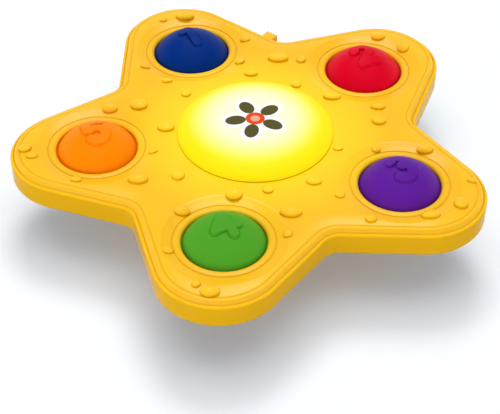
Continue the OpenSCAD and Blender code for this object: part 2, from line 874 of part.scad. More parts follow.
// Slide switch
module switch_knob() {
  rib_count = 3;
  rib_w = knob_len / (2 * rib_count + 1);
  color(shell_yellow)
    on_switch_flank()
      translate([switch_x, 0, 0]) {
        difference() {
          translate([-knob_len / 2, -knob_out, z_knob]) cube([knob_len, knob_out + knob_flange_y, knob_h]);
          for (k = [1 : rib_count])
            translate([-knob_len / 2 + (2 * k - 1) * rib_w, -knob_out - over, z_knob - over])
              cube([rib_w, over + rib_w / 2, knob_h + 2 * over]);
        }
        translate([-knob_len / 2 - knob_flange, knob_flange_y, z_knob])
          cube([knob_len + 2 * knob_flange, knob_flange_t, knob_h]);
        translate([-stem / 2, knob_flange_y, z_stem - stem / 2])
          cube([stem, switch_y + stem_depth - knob_flange_y, stem]);
      }
}

module switch_body() {
  slot_len = switch_travel + stem + 2 * gap;
  color([0.15, 0.15, 0.16])
    difference() {
      switch_envelope();
      on_switch_flank()
        translate([switch_mid_x - slot_len / 2, switch_y - over, z_stem - stem / 2 - gap])
          cube([slot_len, over + stem_depth + gap, stem + 2 * gap]);
    }
}

// Suction cup with its push-in plug and release tab
module suction_cup() {
  neck_a = asin(neck_r / crown_sphere_r);
  rim_a = asin(cup_r / crown_sphere_r);
  hollow_a = asin(cup_inner_r / hollow_sphere_r);
  color([0.85, 0.9, 0.95]) {
    rotate_extrude()
      polygon(concat(
        [[cup_inner_r, 0], [cup_r, 0]],
        arc_points(rim_h + crown_h - crown_sphere_r, crown_sphere_r, rim_a, neck_a),
        [[neck_r, z_drum], [plug_r, z_drum], [plug_r, z_drum_floor], [plug_head_r, z_drum_floor]],
        [[plug_head_r, z_drum_floor + plug_head_h], [0, z_drum_floor + plug_head_h]],
        arc_points(hollow_h - hollow_sphere_r, hollow_sphere_r, 0, hollow_a * (1 - 1 / arc_steps))
      ));
    translate([-tab_w / 2, cup_r - seal_w / 2, 0]) cube([tab_w, tab_len + seal_w / 2, tab_t]);
  }
}

top_shell();
bottom_shell();
light_lens();
light_reflector();
leds();
button_cap(0);  // button_1_blue
button_cap(1);  // button_2_red
button_cap(2);  // button_3_purple
button_cap(3);  // button_4_green
button_cap(4);  // button_5_orange
button_pad(0);  // button_pad_1
button_pad(1);  // button_pad_2
button_pad(2);  // button_pad_3
button_pad(3);  // button_pad_4
button_pad(4);  // button_pad_5
arm_board(0);  // arm_board_1
arm_board(1);  // arm_board_2
arm_board(2);  // arm_board_3
arm_board(3);  // arm_board_4
arm_board(4);  // arm_board_5
arm_ribbons();
switch_ribbon();
main_board();
board_screws();
sound_chip();
capacitors();
speaker_frame();
speaker_cone();
speaker_magnet();
speaker_screws();
speaker_leads();
battery(-1);  // battery_1
battery(1);  // battery_2
battery_contacts();
battery_springs();
battery_leads();
battery_door();
battery_door_screw();
case_screws();
switch_knob();
switch_body();
suction_cup();
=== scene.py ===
"""Musical star toy on a suction cup: the looks of the part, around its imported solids."""
import json
import math

import bmesh
import bpy
import numpy as np
from mathutils import Matrix, Vector
from mathutils.bvhtree import BVHTree


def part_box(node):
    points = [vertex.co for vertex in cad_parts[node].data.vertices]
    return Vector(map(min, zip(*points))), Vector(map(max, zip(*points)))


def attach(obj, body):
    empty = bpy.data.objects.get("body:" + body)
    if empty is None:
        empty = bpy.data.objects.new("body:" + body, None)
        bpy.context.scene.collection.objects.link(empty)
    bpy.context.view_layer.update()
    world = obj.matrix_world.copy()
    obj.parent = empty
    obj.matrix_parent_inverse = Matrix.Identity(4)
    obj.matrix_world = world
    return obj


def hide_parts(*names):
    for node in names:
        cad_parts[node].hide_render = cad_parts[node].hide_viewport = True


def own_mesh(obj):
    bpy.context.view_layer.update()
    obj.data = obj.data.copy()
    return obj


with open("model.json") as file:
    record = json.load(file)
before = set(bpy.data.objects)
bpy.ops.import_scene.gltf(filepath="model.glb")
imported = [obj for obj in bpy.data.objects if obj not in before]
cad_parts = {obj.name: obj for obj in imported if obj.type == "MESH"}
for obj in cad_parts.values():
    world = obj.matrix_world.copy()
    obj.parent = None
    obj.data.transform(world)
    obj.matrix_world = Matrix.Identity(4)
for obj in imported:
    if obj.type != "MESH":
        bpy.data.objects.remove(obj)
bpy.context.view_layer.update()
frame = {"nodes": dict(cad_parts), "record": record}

MM = 0.001
UP = Vector((0, 0, 1))

# Star outline, as the solids have it
ARMS = 5
ARM_STEP = math.tau / ARMS
HALF_STEP = ARM_STEP / 2
FIRST_ARM = math.pi / 2
TIP_CENTRE_R = 75.4 * MM
TIP_R = 26.3 * MM
VALLEY_R = 67.6 * MM
VALLEY_FILLET = 8 * MM
WALL = 2.4 * MM
FLOOR_T = 2 * MM
TONGUE_IN = 3.9 * MM
DRUM_R = 50 * MM
SCREW_RECESS = 1 * MM
RIM_DROP = 1 * MM
LID_T = 2.6 * MM

# Heights and radii read from the frame
Z_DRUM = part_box("bottom_shell")[0].z
Z_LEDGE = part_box("bottom_shell")[1].z
Z_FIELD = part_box("top_shell")[1].z
Z_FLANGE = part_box("button_1_blue")[0].z
Z_DOME_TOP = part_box("button_1_blue")[1].z
Z_LENS_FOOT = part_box("light_lens")[0].z
Z_LENS_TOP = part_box("light_lens")[1].z
Z_PLUG_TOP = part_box("suction_cup")[1].z
LENS_FLANGE_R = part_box("light_lens")[1].x
FLANGE_R = (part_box("button_1_blue")[1].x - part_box("button_1_blue")[0].x) / 2
CUP_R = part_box("suction_cup")[1].x
Z_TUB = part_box("case_screws")[0].z - SCREW_RECESS
Z_RIM = Z_FIELD - RIM_DROP
Z_UNDER = Z_FIELD - LID_T
Z_FLOOR = Z_TUB + FLOOR_T
Z_DRUM_FLOOR = Z_DRUM + FLOOR_T

# Buttons and lens
HOLE_R = 16.7 * MM
COLLAR_R = 20.4 * MM
DISH_R = 25.5 * MM
DISH_DEPTH = 1.25 * MM
CAP_R = 16.3 * MM
CAP_WALL = 1.8 * MM
FLANGE_T = 1.4 * MM
PLUNGER_R = 3.5 * MM
DOME_SUNK = 1.3 * MM
Z_DOME = Z_RIM - DOME_SUNK
LENS_HOLE_R = 32.8 * MM
LENS_WALL = 1.8 * MM

COLOURS = ["blue", "red", "purple", "green", "orange"]
CAPS = [f"button_{k + 1}_{colour}" for k, colour in enumerate(COLOURS)]

# Derived points of the outline, for an arm that points along +X
notch = Vector((TIP_CENTRE_R - VALLEY_R * math.cos(HALF_STEP), VALLEY_R * math.sin(HALF_STEP)))
FLANK_A = math.atan2(notch.y, notch.x) - math.asin(TIP_R / notch.length)
NOTCH_HALF = HALF_STEP + FLANK_A
FLANK_OUT = Vector((math.sin(FLANK_A), math.cos(FLANK_A)))
FLANK_ALONG = Vector((math.cos(FLANK_A), -math.sin(FLANK_A)))
FLANK_D = TIP_CENTRE_R * math.sin(FLANK_A) + TIP_R
FLANK_TIP_X = TIP_CENTRE_R * math.cos(FLANK_A)
FLANK_VALLEY_X = VALLEY_R * math.cos(NOTCH_HALF) + VALLEY_FILLET / math.tan(NOTCH_HALF)
VALLEY_WAY = Vector((math.cos(HALF_STEP), math.sin(HALF_STEP)))
VALLEY_CENTRE = VALLEY_WAY * (VALLEY_R + VALLEY_FILLET / math.sin(NOTCH_HALF))
TIP_CENTRE = Vector((TIP_CENTRE_R, 0))


def smooth_step(t):
    t = min(max(t, 0), 1)
    return t * t * (3 - 2 * t)


def turned(point, angle):
    return Matrix.Rotation(angle, 2) @ Vector(point[:2])


def arc(centre, radius, start, end, steps):
    """Points along an arc, with angles in degrees."""
    angles = [math.radians(start + (end - start) * k / steps) for k in range(steps + 1)]
    return [Vector((centre[0] + radius * math.cos(a), centre[1] + radius * math.sin(a))) for a in angles]


def depth_and_way_out(point):
    """How deep a point lies inside the star's outer wall, and the level direction to that wall."""
    heading = math.atan2(point[1], point[0]) - FIRST_ARM
    turn = round(heading / ARM_STEP) * ARM_STEP + FIRST_ARM
    local = turned(point, -turn)
    side = 1 if local.y >= 0 else -1
    local.y *= side
    along = local.dot(FLANK_ALONG)
    if along > FLANK_TIP_X:
        way = local - TIP_CENTRE
        depth = TIP_R - way.length
    elif along < FLANK_VALLEY_X:
        way = VALLEY_CENTRE - local
        depth = way.length - VALLEY_FILLET
    else:
        way = FLANK_OUT.copy()
        depth = FLANK_D - local.dot(FLANK_OUT)
    way.normalize()
    way.y *= side
    return depth, turned(way, turn)


# Camera, at the photograph's angle and distance
CAMERA_AZIMUTH = math.radians(-25.5)
CAMERA_ELEVATION = math.radians(41.8)
CAMERA_TARGET = Vector((-21.8 * MM, -40.7 * MM, Z_RIM))
CAMERA_DISTANCE = 555.6 * MM
CAMERA_LENS = 101.7
SENSOR_W = 36
PICTURE_W, PICTURE_H = 500, 414


def make_camera():
    data = bpy.data.cameras.new("camera")
    data.lens = CAMERA_LENS
    data.sensor_fit = "HORIZONTAL"
    data.sensor_width = SENSOR_W
    camera = bpy.data.objects.new("camera", data)
    bpy.context.collection.objects.link(camera)
    level = math.cos(CAMERA_ELEVATION)
    back = Vector((math.sin(CAMERA_AZIMUTH) * level, -math.cos(CAMERA_AZIMUTH) * level,
                   math.sin(CAMERA_ELEVATION)))
    camera.location = CAMERA_TARGET + back * CAMERA_DISTANCE
    camera.rotation_euler = (-back).to_track_quat("-Z", "Y").to_euler()
    bpy.context.scene.camera = camera
    bpy.context.view_layer.update()
    return camera


camera = make_camera()


# Shader building
BLACK = (0, 0, 0, 1)
WHITE = (1, 1, 1, 1)


def place(tree, kind, sockets=(), **settings):
    """Adds a node, with its settings and with values or links on its input sockets."""
    made = tree.nodes.new(kind)
    for name, value in settings.items():
        setattr(made, name, value)
    for name, value in dict(sockets).items():
        if isinstance(value, bpy.types.NodeSocket):
            tree.links.new(value, made.inputs[name])
        else:
            made.inputs[name].default_value = value
    return made


def maths(tree, operation, *values):
    return place(tree, "ShaderNodeMath", enumerate(values), operation=operation).outputs[0]


def mixed(tree, share, first, second):
    """Mix of two colours."""
    made = place(tree, "ShaderNodeMix", data_type="RGBA")
    for socket, value in zip((made.inputs[0], made.inputs[6], made.inputs[7]), (share, first, second)):
        if isinstance(value, bpy.types.NodeSocket):
            tree.links.new(value, socket)
        else:
            socket.default_value = value
    return made.outputs[2]


def ramp(tree, value, low, high):
    """0 at low and 1 at high, with soft ends."""
    made = place(tree, "ShaderNodeMapRange", {"Value": value, "From Min": low, "From Max": high},
                 interpolation_type="SMOOTHSTEP")
    return made.outputs["Result"]


def linear(red, green, blue):
    """A colour written in screen values from 0 to 255."""
    def channel(value):
        v = value / 255
        return v / 12.92 if v <= 0.04045 else ((v + 0.055) / 1.055) ** 2.4
    return (channel(red), channel(green), channel(blue), 1)


DRIFT_SCALE = 45
HANDLING_SCALE = 160
NOISE_MEAN = 0.5
GRAIN_HEIGHT = 0.2 * MM


def make_moulded_group():
    """Finish of a moulded piece: faint drift of the colour, uneven gloss and a fine grain."""
    group = bpy.data.node_groups.new("moulded_finish", "ShaderNodeTree")
    face = group.interface
    face.new_socket("Colour", in_out="INPUT", socket_type="NodeSocketColor")
    for name in ("Drift", "Gloss", "Unevenness", "Grain Scale", "Grain Depth"):
        face.new_socket(name, in_out="INPUT", socket_type="NodeSocketFloat")
    face.new_socket("Colour", in_out="OUTPUT", socket_type="NodeSocketColor")
    face.new_socket("Roughness", in_out="OUTPUT", socket_type="NodeSocketFloat")
    face.new_socket("Normal", in_out="OUTPUT", socket_type="NodeSocketVector")
    given = place(group, "NodeGroupInput").outputs
    spot = place(group, "ShaderNodeTexCoord").outputs["Object"]
    flow = place(group, "ShaderNodeTexNoise", {"Vector": spot, "Scale": DRIFT_SCALE, "Detail": 3})
    sway = maths(group, "SUBTRACT", flow.outputs["Fac"], NOISE_MEAN)
    shade = maths(group, "MULTIPLY_ADD", sway, given["Drift"], 1)
    tint = place(group, "ShaderNodeHueSaturation", {"Color": given["Colour"], "Value": shade})
    handling = place(group, "ShaderNodeTexNoise", {"Vector": spot, "Scale": HANDLING_SCALE, "Detail": 4})
    wander = maths(group, "SUBTRACT", handling.outputs["Fac"], NOISE_MEAN)
    rough = maths(group, "MULTIPLY_ADD", wander, given["Unevenness"], given["Gloss"])
    grain = place(group, "ShaderNodeTexNoise",
                  {"Vector": spot, "Scale": given["Grain Scale"], "Detail": 2})
    bump = place(group, "ShaderNodeBump", {"Height": grain.outputs["Fac"],
                                           "Strength": given["Grain Depth"], "Distance": GRAIN_HEIGHT})
    sinks = place(group, "NodeGroupOutput").inputs
    group.links.new(tint.outputs["Color"], sinks["Colour"])
    group.links.new(rough, sinks["Roughness"])
    group.links.new(bump.outputs["Normal"], sinks["Normal"])
    return group


MOULDED = make_moulded_group()


def new_material(name):
    material = bpy.data.materials.new(name)
    material.use_nodes = True
    tree = material.node_tree
    return material, tree, tree.nodes["Principled BSDF"]


def moulded(tree, shader, colour, drift=0.08, gloss=0.35, unevenness=0.08, grain_scale=2500,
            grain_depth=0.05):
    """Puts the moulded finish on a shader."""
    made = place(tree, "ShaderNodeGroup", node_tree=MOULDED)
    if isinstance(colour, bpy.types.NodeSocket):
        tree.links.new(colour, made.inputs["Colour"])
    else:
        made.inputs["Colour"].default_value = colour
    values = {"Drift": drift, "Gloss": gloss, "Unevenness": unevenness,
              "Grain Scale": grain_scale, "Grain Depth": grain_depth}
    for name, value in values.items():
        made.inputs[name].default_value = value
    tree.links.new(made.outputs["Colour"], shader.inputs["Base Color"])
    tree.links.new(made.outputs["Roughness"], shader.inputs["Roughness"])
    tree.links.new(made.outputs["Normal"], shader.inputs["Normal"])


def from_axis(tree):
    """Coordinates of a spot on the surface, and its level distance from the toy's axis."""
    spot = place(tree, "ShaderNodeTexCoord").outputs["Object"]
    parts = place(tree, "ShaderNodeSeparateXYZ", {"Vector": spot}).outputs
    level = place(tree, "ShaderNodeCombineXYZ", {"X": parts["X"], "Y": parts["Y"]}).outputs[0]
    distance = place(tree, "ShaderNodeVectorMath", {0: level}, operation="LENGTH").outputs["Value"]
    return parts, distance


# Finishes
SHADE = "shade"
SHELL_YELLOW = linear(252, 193, 26)
# Painted glow: brighter yellow round the lens, standing in for lamp light through the shell
LIT_YELLOW = linear(255, 206, 28)
# Painted shade colour for the grooves, seam, bores and droplets' feet
PAINTED_SHADE_YELLOW = linear(216, 164, 8)
SHELL_GLOW = linear(255, 222, 0)
SHELL_GLOW_STRENGTH = 0.11
GLOW_INNER_R = 33 * MM
GLOW_OUTER_R = 62 * MM
LID_SHEEN = 0.15
WALL_SHEEN = 0.03


def shell_finish(name, sheen):
    """Yellow shell with a painted glow round the lens where light shines through, and painted shade in
    its grooves and at the droplets' feet.
    """
    material, tree, shader = new_material(name)
    _, distance = from_axis(tree)
    lit = ramp(tree, distance, GLOW_OUTER_R, GLOW_INNER_R)
    colour = mixed(tree, lit, SHELL_YELLOW, LIT_YELLOW)
    # Painted shade, read from the shade attribute
    hollow = place(tree, "ShaderNodeAttribute", attribute_name=SHADE).outputs["Fac"]
    colour = mixed(tree, hollow, colour, PAINTED_SHADE_YELLOW)
    moulded(tree, shader, colour, drift=0.05, gloss=0.2, unevenness=0.05)
    # Painted glow: the shell emits round the lens, except where painted shade lies
    open_lit = maths(tree, "MULTIPLY", lit, maths(tree, "SUBTRACT", 1, hollow))
    glow = mixed(tree, open_lit, BLACK, SHELL_GLOW)
    tree.links.new(glow, shader.inputs["Emission Color"])
    shader.inputs["Emission Strength"].default_value = SHELL_GLOW_STRENGTH
    shader.inputs["Specular IOR Level"].default_value = sheen
    return material


BUTTON_SHEEN = 0.04


def button_finish(name, colour):
    material, tree, shader = new_material(name)
    moulded(tree, shader, colour, drift=0.06, gloss=0.4, unevenness=0.06, grain_scale=3200,
            grain_depth=0.08)
    shader.inputs["Specular IOR Level"].default_value = BUTTON_SHEEN
    return material


PETALS = 5
PETAL_RING = 8.2 * MM
PETAL_LONG = 4.2 * MM
PETAL_WIDE = 2.9 * MM
PETAL_EDGE = 1.5 * MM
HEART_R = 4 * MM
HEART_CORE_R = 2 * MM
INK_EDGE = 0.15 * MM
OVAL_OUT, OVAL_IN = 1.06, 0.98
PETAL_INK = linear(84, 80, 38)
HEART_INK = linear(228, 72, 28)
CORE_INK = linear(246, 170, 140)
LENS_YELLOW = linear(255, 248, 34)
LENS_RIM_YELLOW = linear(252, 230, 12)
# Painted light: cream hot spot of the lamps' glow over the lens's middle
LENS_HOTSPOT_CREAM = linear(255, 251, 216)
LENS_LINE = linear(176, 140, 0)
LENS_LINE_H = 0.35 * MM
LAMPS_MIDDLE = (0.2 * MM, 1.7 * MM)
HOTSPOT_INNER_R, HOTSPOT_OUTER_R = 12 * MM, 29 * MM
RIM_INNER_R, RIM_OUTER_R = 20 * MM, 32.5 * MM
LENS_BODY_SHARE = 0.5
LENS_GLOW_STRENGTH = 0.52
LENS_SHEEN = 0.05


def lens_finish():
    """Lens glowing with painted lamp light: a cream hot spot over the lamps' middle, yellow towards the
    rim, and a small printed blossom.
    """
    material, tree, shader = new_material("lens")
    parts, distance = from_axis(tree)
    off_lamps = place(tree, "ShaderNodeCombineXYZ",
                      {"X": maths(tree, "SUBTRACT", parts["X"], LAMPS_MIDDLE[0]),
                       "Y": maths(tree, "SUBTRACT", parts["Y"], LAMPS_MIDDLE[1])}).outputs[0]
    off_lamps = place(tree, "ShaderNodeVectorMath", {0: off_lamps}, operation="LENGTH").outputs["Value"]
    # Painted hot spot of lamp light round the lamps' middle
    hotspot = ramp(tree, off_lamps, HOTSPOT_OUTER_R, HOTSPOT_INNER_R)
    rim = ramp(tree, distance, RIM_INNER_R, RIM_OUTER_R)
    yellow = mixed(tree, rim, LENS_YELLOW, LENS_RIM_YELLOW)
    glow = mixed(tree, hotspot, yellow, LENS_HOTSPOT_CREAM)
    foot = ramp(tree, parts["Z"], Z_FIELD + LENS_LINE_H, Z_FIELD + LENS_LINE_H / 2)
    glow = mixed(tree, foot, glow, LENS_LINE)
    angle = maths(tree, "ARCTAN2", parts["X"], parts["Y"])
    step = math.tau / PETALS
    nearest = maths(tree, "MULTIPLY", maths(tree, "ROUND", maths(tree, "DIVIDE", angle, step)), step)
    off = maths(tree, "SUBTRACT", angle, nearest)
    across = maths(tree, "MULTIPLY", distance, maths(tree, "SINE", off))
    outward = maths(tree, "MULTIPLY", distance, maths(tree, "COSINE", off))
    along = maths(tree, "SUBTRACT", outward, PETAL_RING)

    def oval(grow):
        """1 inside the petal, grown by some width, and 0 outside."""
        wide = maths(tree, "DIVIDE", across, PETAL_WIDE + grow)
        long = maths(tree, "DIVIDE", along, PETAL_LONG + grow)
        squares = maths(tree, "ADD", maths(tree, "POWER", wide, 2), maths(tree, "POWER", long, 2))
        return ramp(tree, maths(tree, "SQRT", squares), OVAL_OUT, OVAL_IN)

    halo, petal = oval(PETAL_EDGE), oval(0)
    heart = ramp(tree, distance, HEART_R + INK_EDGE, HEART_R - INK_EDGE)
    core = ramp(tree, distance, HEART_CORE_R + INK_EDGE, HEART_CORE_R - INK_EDGE)
    ink = mixed(tree, halo, glow, WHITE)
    ink = mixed(tree, petal, ink, PETAL_INK)
    ink = mixed(tree, heart, ink, HEART_INK)
    ink = mixed(tree, core, ink, CORE_INK)
    body = mixed(tree, LENS_BODY_SHARE, ink, BLACK)
    moulded(tree, shader, body, drift=0.02, gloss=0.4, unevenness=0.04, grain_scale=1500,
            grain_depth=0.02)
    # The lens glows as painted light from the lamps behind it, print too
    tree.links.new(ink, shader.inputs["Emission Color"])
    shader.inputs["Emission Strength"].default_value = LENS_GLOW_STRENGTH
    shader.inputs["Specular IOR Level"].default_value = LENS_SHEEN
    return material


SILICONE_IOR = 1.41


def silicone_finish(name, colour, clear):
    material, tree, shader = new_material(name)
    moulded(tree, shader, colour, drift=0.04, gloss=0.3, unevenness=0.1, grain_scale=900,
            grain_depth=0.06)
    shader.inputs["Transmission Weight"].default_value = clear
    shader.inputs["IOR"].default_value = SILICONE_IOR
    return material


LINE_STRETCH = (1, 12, 12)
LINE_SCALE = 700
LINE_DARK = 0.7
LINE_ROUGH, METAL_ROUGH = 0.2, 0.22


def metal_finish(name, colour):
    """Plated metal with fine drawn lines."""
    material, tree, shader = new_material(name)
    spot = place(tree, "ShaderNodeTexCoord").outputs["Object"]
    drawn = place(tree, "ShaderNodeMapping", {"Vector": spot, "Scale": LINE_STRETCH}).outputs[0]
    noise = place(tree, "ShaderNodeTexNoise", {"Vector": drawn, "Scale": LINE_SCALE, "Detail": 4})
    lines = noise.outputs["Fac"]
    dark = tuple(c * LINE_DARK for c in colour[:3]) + (1,)
    tree.links.new(mixed(tree, lines, colour, dark), shader.inputs["Base Color"])
    rough = maths(tree, "MULTIPLY_ADD", lines, LINE_ROUGH, METAL_ROUGH)
    tree.links.new(rough, shader.inputs["Roughness"])
    shader.inputs["Metallic"].default_value = 1
    return material


TRACK_GREEN = linear(60, 140, 70)
BOARD_GREEN = linear(24, 96, 48)
TRACK_SCALE = 160
TRACK_W = 0.03
TRACK_CUT = 0.5


def board_finish():
    """Lacquered board with faint conductor tracks."""
    material, tree, shader = new_material("board")
    spot = place(tree, "ShaderNodeTexCoord").outputs["Object"]
    grid = {"Vector": spot, "Scale": TRACK_SCALE, "Mortar Size": TRACK_W}
    cells = place(tree, "ShaderNodeTexBrick", grid)
    tracks = maths(tree, "LESS_THAN", cells.outputs["Fac"], TRACK_CUT)
    colour = mixed(tree, tracks, TRACK_GREEN, BOARD_GREEN)
    moulded(tree, shader, colour, gloss=0.3)
    return material


def plain_finish(name, colour, gloss):
    material, tree, shader = new_material(name)
    moulded(tree, shader, colour, gloss=gloss, unevenness=0.12, grain_depth=0.1)
    return material


FINISHES = {
    "yellow_shell": shell_finish("yellow_shell", LID_SHEEN),
    "lens": lens_finish(),
    "button_blue": button_finish("button_blue", linear(0, 43, 124)),
    "button_red": button_finish("button_red", linear(214, 0, 36)),
    "button_purple": button_finish("button_purple", linear(91, 28, 151)),
    "button_green": button_finish("button_green", linear(76, 158, 38)),
    "button_orange": button_finish("button_orange", linear(252, 134, 0)),
    "silicone": silicone_finish("silicone", linear(228, 228, 230), 0),
    "cup_silicone": silicone_finish("cup_silicone", linear(240, 244, 248), 0.35),
    "board": board_finish(),
    "steel": metal_finish("steel", linear(200, 202, 206)),
    "cell": metal_finish("cell", linear(206, 150, 80)),
    "reflector": plain_finish("reflector", linear(244, 244, 240), 0.4),
    "diode": plain_finish("diode", linear(255, 252, 226), 0.15),
    "ribbon": plain_finish("ribbon", linear(200, 200, 204), 0.5),
    "chip": plain_finish("chip", linear(26, 26, 28), 0.6),
    "capacitor": plain_finish("capacitor", linear(40, 44, 96), 0.3),
    "cone_paper": plain_finish("cone_paper", linear(34, 34, 34), 0.9),
    "lead_wire": plain_finish("lead_wire", linear(200, 30, 32), 0.4),
    "switch_black": plain_finish("switch_black", linear(44, 44, 46), 0.5),
}

node_slots = {row["node"]: row["material_slot"] for row in frame["record"]["subparts"]}
for name, solid in frame["nodes"].items():
    solid.data.materials.clear()
    solid.data.materials.append(FINISHES[node_slots[name]])


# Mesh building
SHARP = math.radians(38)
MERGE = 0.002 * MM


def finish_piece(name, bm, body, slot, *nodes, finish=None):
    """Makes a closed, smooth-shaded piece of a bmesh and ties it to the frame."""
    bmesh.ops.remove_doubles(bm, verts=bm.verts, dist=MERGE)
    bmesh.ops.recalc_face_normals(bm, faces=bm.faces)
    mesh = bpy.data.meshes.new(name)
    bm.to_mesh(mesh)
    bm.free()
    mesh.materials.append(finish or FINISHES[slot])
    mesh.shade_smooth()
    mesh.set_sharp_from_angle(angle=SHARP)
    piece = bpy.data.objects.new(name, mesh)
    bpy.context.collection.objects.link(piece)
    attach(piece, body)
    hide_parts(*nodes)
    return piece


def once(items):
    """Items without repeats, in the order in which they come."""
    return list(dict.fromkeys(items))


def chain(bm, points, closed=False):
    """Joined edges through points."""
    verts = [bm.verts.new(p) for p in points]
    pairs = list(zip(verts, verts[1:]))
    if closed:
        pairs.append((verts[-1], verts[0]))
    return [bm.edges.new(pair) for pair in pairs]


def revolve(bm, centre, profile, steps, closed=False):
    """Turns a profile of (radius, height) pairs about an upright axis."""
    edges = chain(bm, [(centre[0] + r, centre[1], z) for r, z in profile], closed)
    verts = once(v for edge in edges for v in edge.verts)
    bmesh.ops.spin(bm, geom=verts + edges, cent=(centre[0], centre[1], 0), axis=UP, dvec=(0, 0, 0),
                   angle=math.tau, steps=steps, use_merge=True)


def extrude_loop(bm, edges, move):
    """Draws a loop out once, moving each new point by the given rule, and returns the new loop."""
    made = bmesh.ops.extrude_edge_only(bm, edges=edges)["geom"]
    for v in made:
        if isinstance(v, bmesh.types.BMVert):
            v.co = move(v.co)
    new = {v for v in made if isinstance(v, bmesh.types.BMVert)}
    return [e for e in made if isinstance(e, bmesh.types.BMEdge) and all(v in new for v in e.verts)]


def to_depth(depth, z):
    """Rule that moves a point of a star loop to another depth inside the wall, and to a height."""
    def move(co):
        now, way = depth_and_way_out(co)
        flat = co.xy + way * (now - depth)
        return Vector((flat.x, flat.y, z))
    return move


def to_radius(centre, radius, z):
    """Rule that moves a point of a round loop to another radius and height."""
    def move(co):
        way = (co.xy - Vector(centre[:2])).normalized()
        flat = Vector(centre[:2]) + way * radius
        return Vector((flat.x, flat.y, z))
    return move


def rim_of(bm, keep):
    """Open edges of a mesh whose points all satisfy a test."""
    return [e for e in bm.edges if len(e.link_faces) == 1 and all(keep(v.co) for v in e.verts)]


def circle_loop(bm, centre, radius, z, steps):
    """Closed round loop of edges."""
    made = bmesh.ops.create_circle(bm, segments=steps, radius=radius,
                                   matrix=Matrix.Translation((centre[0], centre[1], z)))["verts"]
    return once(e for v in made for e in v.link_edges)


def fill_flat(bm, *loops):
    """Flat face between an outer loop and the holes in it."""
    bmesh.ops.triangle_fill(bm, edges=[e for loop in loops for e in loop], use_beauty=True, normal=UP)


def rounded(centre, radius, start, end, steps=6):
    """Points of a rounded corner in a (radius, height) profile."""
    return [tuple(p) for p in arc(centre, radius, start, end, steps)]


button_centres = [(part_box(cap)[0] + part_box(cap)[1]) / 2 for cap in CAPS]
BUTTON_RING = button_centres[0].xy.length

# Lid
FIELD_IN = 4.7 * MM
CREASE_W = 0.6 * MM
CREASE = 0.2 * MM
SEAM_SHADE_W = 0.7 * MM
LINE_SHADE = 0.7
LIP_CREST_IN = 2.7 * MM
LIP_FOOT_IN = 1.15 * MM
SHOULDER_W = 1.1 * MM
SHOULDER_H = 1.1 * MM
Z_SHOULDER = Z_LEDGE
SEAM = 0.02 * MM
SEAM_DROP = 0.3 * MM
Z_LIP_FOOT = Z_SHOULDER - SEAM_DROP
EDGE_FALL = 0.5 * MM
EDGE_FALL_W = 6.5 * MM
Z_EDGE = Z_FIELD - EDGE_FALL
CREST_RISE = 0.08 * MM
Z_CREST = Z_EDGE + CREST_RISE
CREASE_LIP = 0.02 * MM
CREST_W = 0.6 * MM
CREST_FALL = 0.01 * MM
ROLL_STEPS = 14
DISH_EASE = 2.5
BORE_SHADE_Z = Z_RIM - 0.4 * MM
LENS_HOLE_ROUND = 0.35 * MM
LENS_HOLE_DRAFT = 0.05 * MM
ARM_MERGE = 0.005 * MM
SAME_HEIGHT = 0.01 * MM
FIELD_RINGS = 22
TIP_STEPS, FLANK_STEPS, VALLEY_STEPS, LINE_STEPS, LENS_STEPS = 24, 26, 12, 20, 22


def field_height(co, ring):
    """Height of the lid's top face: dished round a button, and falling a little to the edge."""
    depth, _ = depth_and_way_out(co)
    fall = EDGE_FALL * max(0, 1 - (depth - FIELD_IN) / EDGE_FALL_W) ** 2
    slope = max(0, DISH_R - ring) / (DISH_R - COLLAR_R)
    dish = DISH_DEPTH * slope * smooth_step(DISH_EASE * slope)
    return Z_FIELD - fall * (1 - slope) - dish


def lip_height(depth):
    """Height of the lid's lip, which falls into a groove behind the wall's shoulder."""
    climb = smooth_step((depth - LIP_FOOT_IN) / (LIP_CREST_IN - LIP_FOOT_IN))
    return Z_LIP_FOOT + (Z_CREST - Z_LIP_FOOT) * climb


def shade_where(bm, share):
    """Marks how much painted shade each vertex gets, for the shell's finish."""
    layer = bm.verts.layers.float.new(SHADE)
    for v in bm.verts:
        v[layer] = share(v.co)


def lid_shade(co):
    """Painted shade: 1 in the crease, at the lid's seam, in the collars' grooves and down their bores.
    """
    depth, _ = depth_and_way_out(co)
    ring = min((co.xy - centre.xy).length for centre in button_centres)
    crease = 1 - abs(depth - FIELD_IN + CREASE_W) / (CREASE_W / 2)
    seam = 1 - (depth - LIP_FOOT_IN) / SEAM_SHADE_W if co.z < Z_CREST else 0
    groove = 1 - abs(ring - COLLAR_R + COLLAR_GROOVE) / COLLAR_GROOVE
    bore = (BORE_SHADE_Z - co.z) / MM if ring < HOLE_R + MM else 0
    return min(max(LINE_SHADE * crease, seam, LINE_SHADE * groove, bore, 0), 1)


def half_outline(inset):
    """Half an arm's outline at some depth inside the wall, from the tip to the valley."""
    tip = arc(TIP_CENTRE, TIP_R - inset, 0, 90 - math.degrees(FLANK_A), TIP_STEPS)
    valley = arc(VALLEY_CENTRE, VALLEY_FILLET + inset, 270 - math.degrees(FLANK_A),
                 180 + math.degrees(HALF_STEP), VALLEY_STEPS)
    flank = [tip[-1].lerp(valley[0], k / FLANK_STEPS) for k in range(1, FLANK_STEPS)]
    return tip + flank + valley


def half_field_edge():
    """Half the edge of one arm's part of the top face, from the tip round to the lens."""
    outer = half_outline(FIELD_IN)
    lens_arc = arc((0, 0), LENS_HOLE_R, math.degrees(HALF_STEP), 0, LENS_STEPS)
    line = [outer[-1].lerp(lens_arc[0], k / LINE_STEPS) for k in range(1, LINE_STEPS)]
    return outer + line + lens_arc


